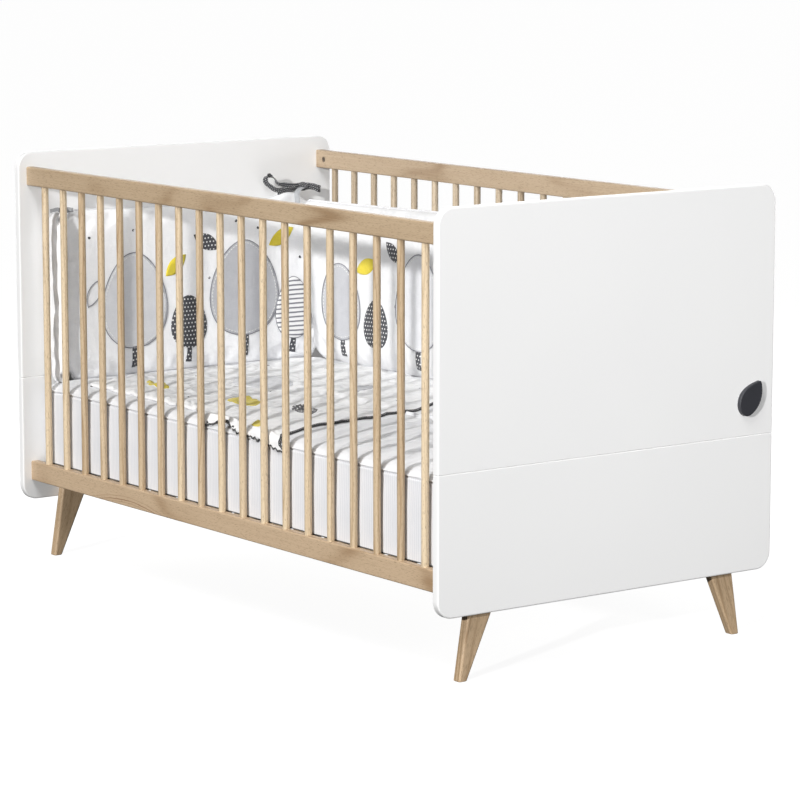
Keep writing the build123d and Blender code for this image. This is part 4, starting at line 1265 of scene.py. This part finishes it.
for turn, r in ((0.0, 1.0), (0.9, 0.86)):
    pts, ups = [], []
    for k in range(24):
        q = TAU * k / 24
        c, s = math.cos(q) * 0.0085 * r, math.sin(q) * 0.0065 * r
        pts.append((KX + c * 0.55 * math.cos(turn), KY + c * 0.84 + c * 0.3 * math.sin(turn), KZ + s + 0.001))
        ups.append((math.cos(q) * 0.55, math.cos(q) * 0.84, math.sin(q)))
    knot_parts.append(tube("x", pts, 0.0058, None, closed=True, sides=10, flat=0.55, ups=ups))
core = tube("x", [(KX - 0.006, KY - 0.010, KZ), (KX - 0.003, KY - 0.004, KZ), (KX, KY, KZ + 0.0005), (KX + 0.003, KY + 0.004, KZ), (KX + 0.006, KY + 0.010, KZ)], 0.0062, None, sides=10)
bv, bf, bu = join([loop_left, loop_right, tail_b, core] + knot_parts)
bow = make("bumper_bow", bv, bf, ribbon_mat, bu)
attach(bow, "bumper")
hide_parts("bumper_ties")
tail_mat = cotton("tie_grey", lin(176, 178, 181), lin(156, 158, 162), crumple=0.1)
tv, tf, tu = tail_a
tail = make("bumper_corner_tie", tv, tf, tail_mat, tu)
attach(tail, "bumper")

# small tie between the head pad and the short front pad
FX, FY, FZ = -0.670, -0.307, 0.7170
f_loop = ribbon([(FX, FY, FZ), (FX + 0.004, FY + 0.010, FZ + 0.004), (FX + 0.006, FY + 0.020, FZ + 0.0030), (FX + 0.004, FY + 0.024, FZ + 0.002), (FX + 0.001, FY + 0.012, FZ + 0.0005), (FX, FY, FZ)], [(0.25, 0, 1.0)] * 6, 0.0085, seed=0.9)
f_tail = ribbon([(FX, FY, FZ), (FX + 0.010, FY - 0.006, FZ + 0.004), (FX + 0.020, FY - 0.012, FZ + 0.003), (FX + 0.027, FY - 0.016, FZ + 0.0015)], [(0.2, 0, 1.0)] * 4, 0.0085, seed=2.2)
f_tail2 = ribbon([(FX, FY, FZ), (FX - 0.004, FY - 0.006, FZ + 0.004), (FX - 0.007, FY - 0.014, FZ + 0.003), (FX - 0.008, FY - 0.022, FZ + 0.0010)], [(0.2, 0.1, 1.0)] * 4, 0.0080, seed=4.2)
f_core = tube("x", [(FX - 0.005, FY + 0.002, FZ + 0.001), (FX - 0.002, FY, FZ + 0.002), (FX + 0.002, FY - 0.001, FZ + 0.002), (FX + 0.006, FY - 0.003, FZ + 0.001)], 0.0052, None, sides=10)
fv, ff, fu = join([f_loop, f_tail, f_tail2, f_core])
front_tie = make("bumper_front_tie", fv, ff, tail_mat, fu)
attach(front_tie, "bumper")


# ------------------------------------------------------------------ floor and light
g = Shade("floor_white")
g.set(Base_Color=(0.22, 0.22, 0.22, 1), Roughness=1.0)
g.bsdf.inputs["Emission Color"].default_value = (1, 1, 1, 1)
g.bsdf.inputs["Emission Strength"].default_value = 0.90
g.bsdf.inputs["Specular IOR Level"].default_value = 0.0
floor = make("floor", [(-90, -90, 0), (90, -90, 0), (90, 90, 0), (-90, 90, 0)], [(0, 1, 2, 3)], g.mat)
floor.visible_diffuse = False
floor.visible_glossy = False

world = bpy.data.worlds.new("studio")
world.use_nodes = True
world.node_tree.nodes["Background"].inputs["Color"].default_value = (1.0, 1.0, 1.0, 1)
world.node_tree.nodes["Background"].inputs["Strength"].default_value = 0.07
scene.world = world


def sun(name, azimuth, elevation, strength, spread, colour=(1, 1, 1)):
    """A soft distant light. Azimuth is counted from +X towards +Y, and is where the light comes from."""
    d = bpy.data.lights.new(name, "SUN")
    d.energy = strength * math.pi
    d.angle = math.radians(spread)
    d.color = colour
    o = bpy.data.objects.new(name, d)
    scene.collection.objects.link(o)
    a, e = math.radians(azimuth), math.radians(elevation)
    back = Vector((math.cos(e) * math.cos(a), math.cos(e) * math.sin(a), math.sin(e)))
    o.rotation_euler = (-back).to_track_quat("-Z", "Y").to_euler()
    return o


def softbox(name, place, aim, size, power):
    d = bpy.data.lights.new(name, "AREA")
    d.shape = "SQUARE"
    d.size = size
    d.energy = power
    o = bpy.data.objects.new(name, d)
    scene.collection.objects.link(o)
    o.location = place
    o.rotation_euler = (Vector(aim) - Vector(place)).to_track_quat("-Z", "Y").to_euler()
    return o


sun("key", -67, 14, 0.88, 1.8, (1.0, 0.996, 0.988))
softbox("top_front", (1.6, -2.0, 3.7), (0.0, 0.0, 0.4), 1.8, 98)
softbox("side", (3.3, 0.05, 0.85), (0.7, 0.0, 0.52), 0.95, 32)
softbox("head_fill", (-3.3, 0.25, 0.95), (-0.7, 0.0, 0.52), 1.1, 35)
softbox("back_fill", (-0.3, 3.5, 0.95), (0.0, 0.36, 0.5), 1.3, 56)
sun("rim", 140, 24, 0.26, 30)

scene.view_settings.view_transform = "Standard"
scene.view_settings.look = "None"
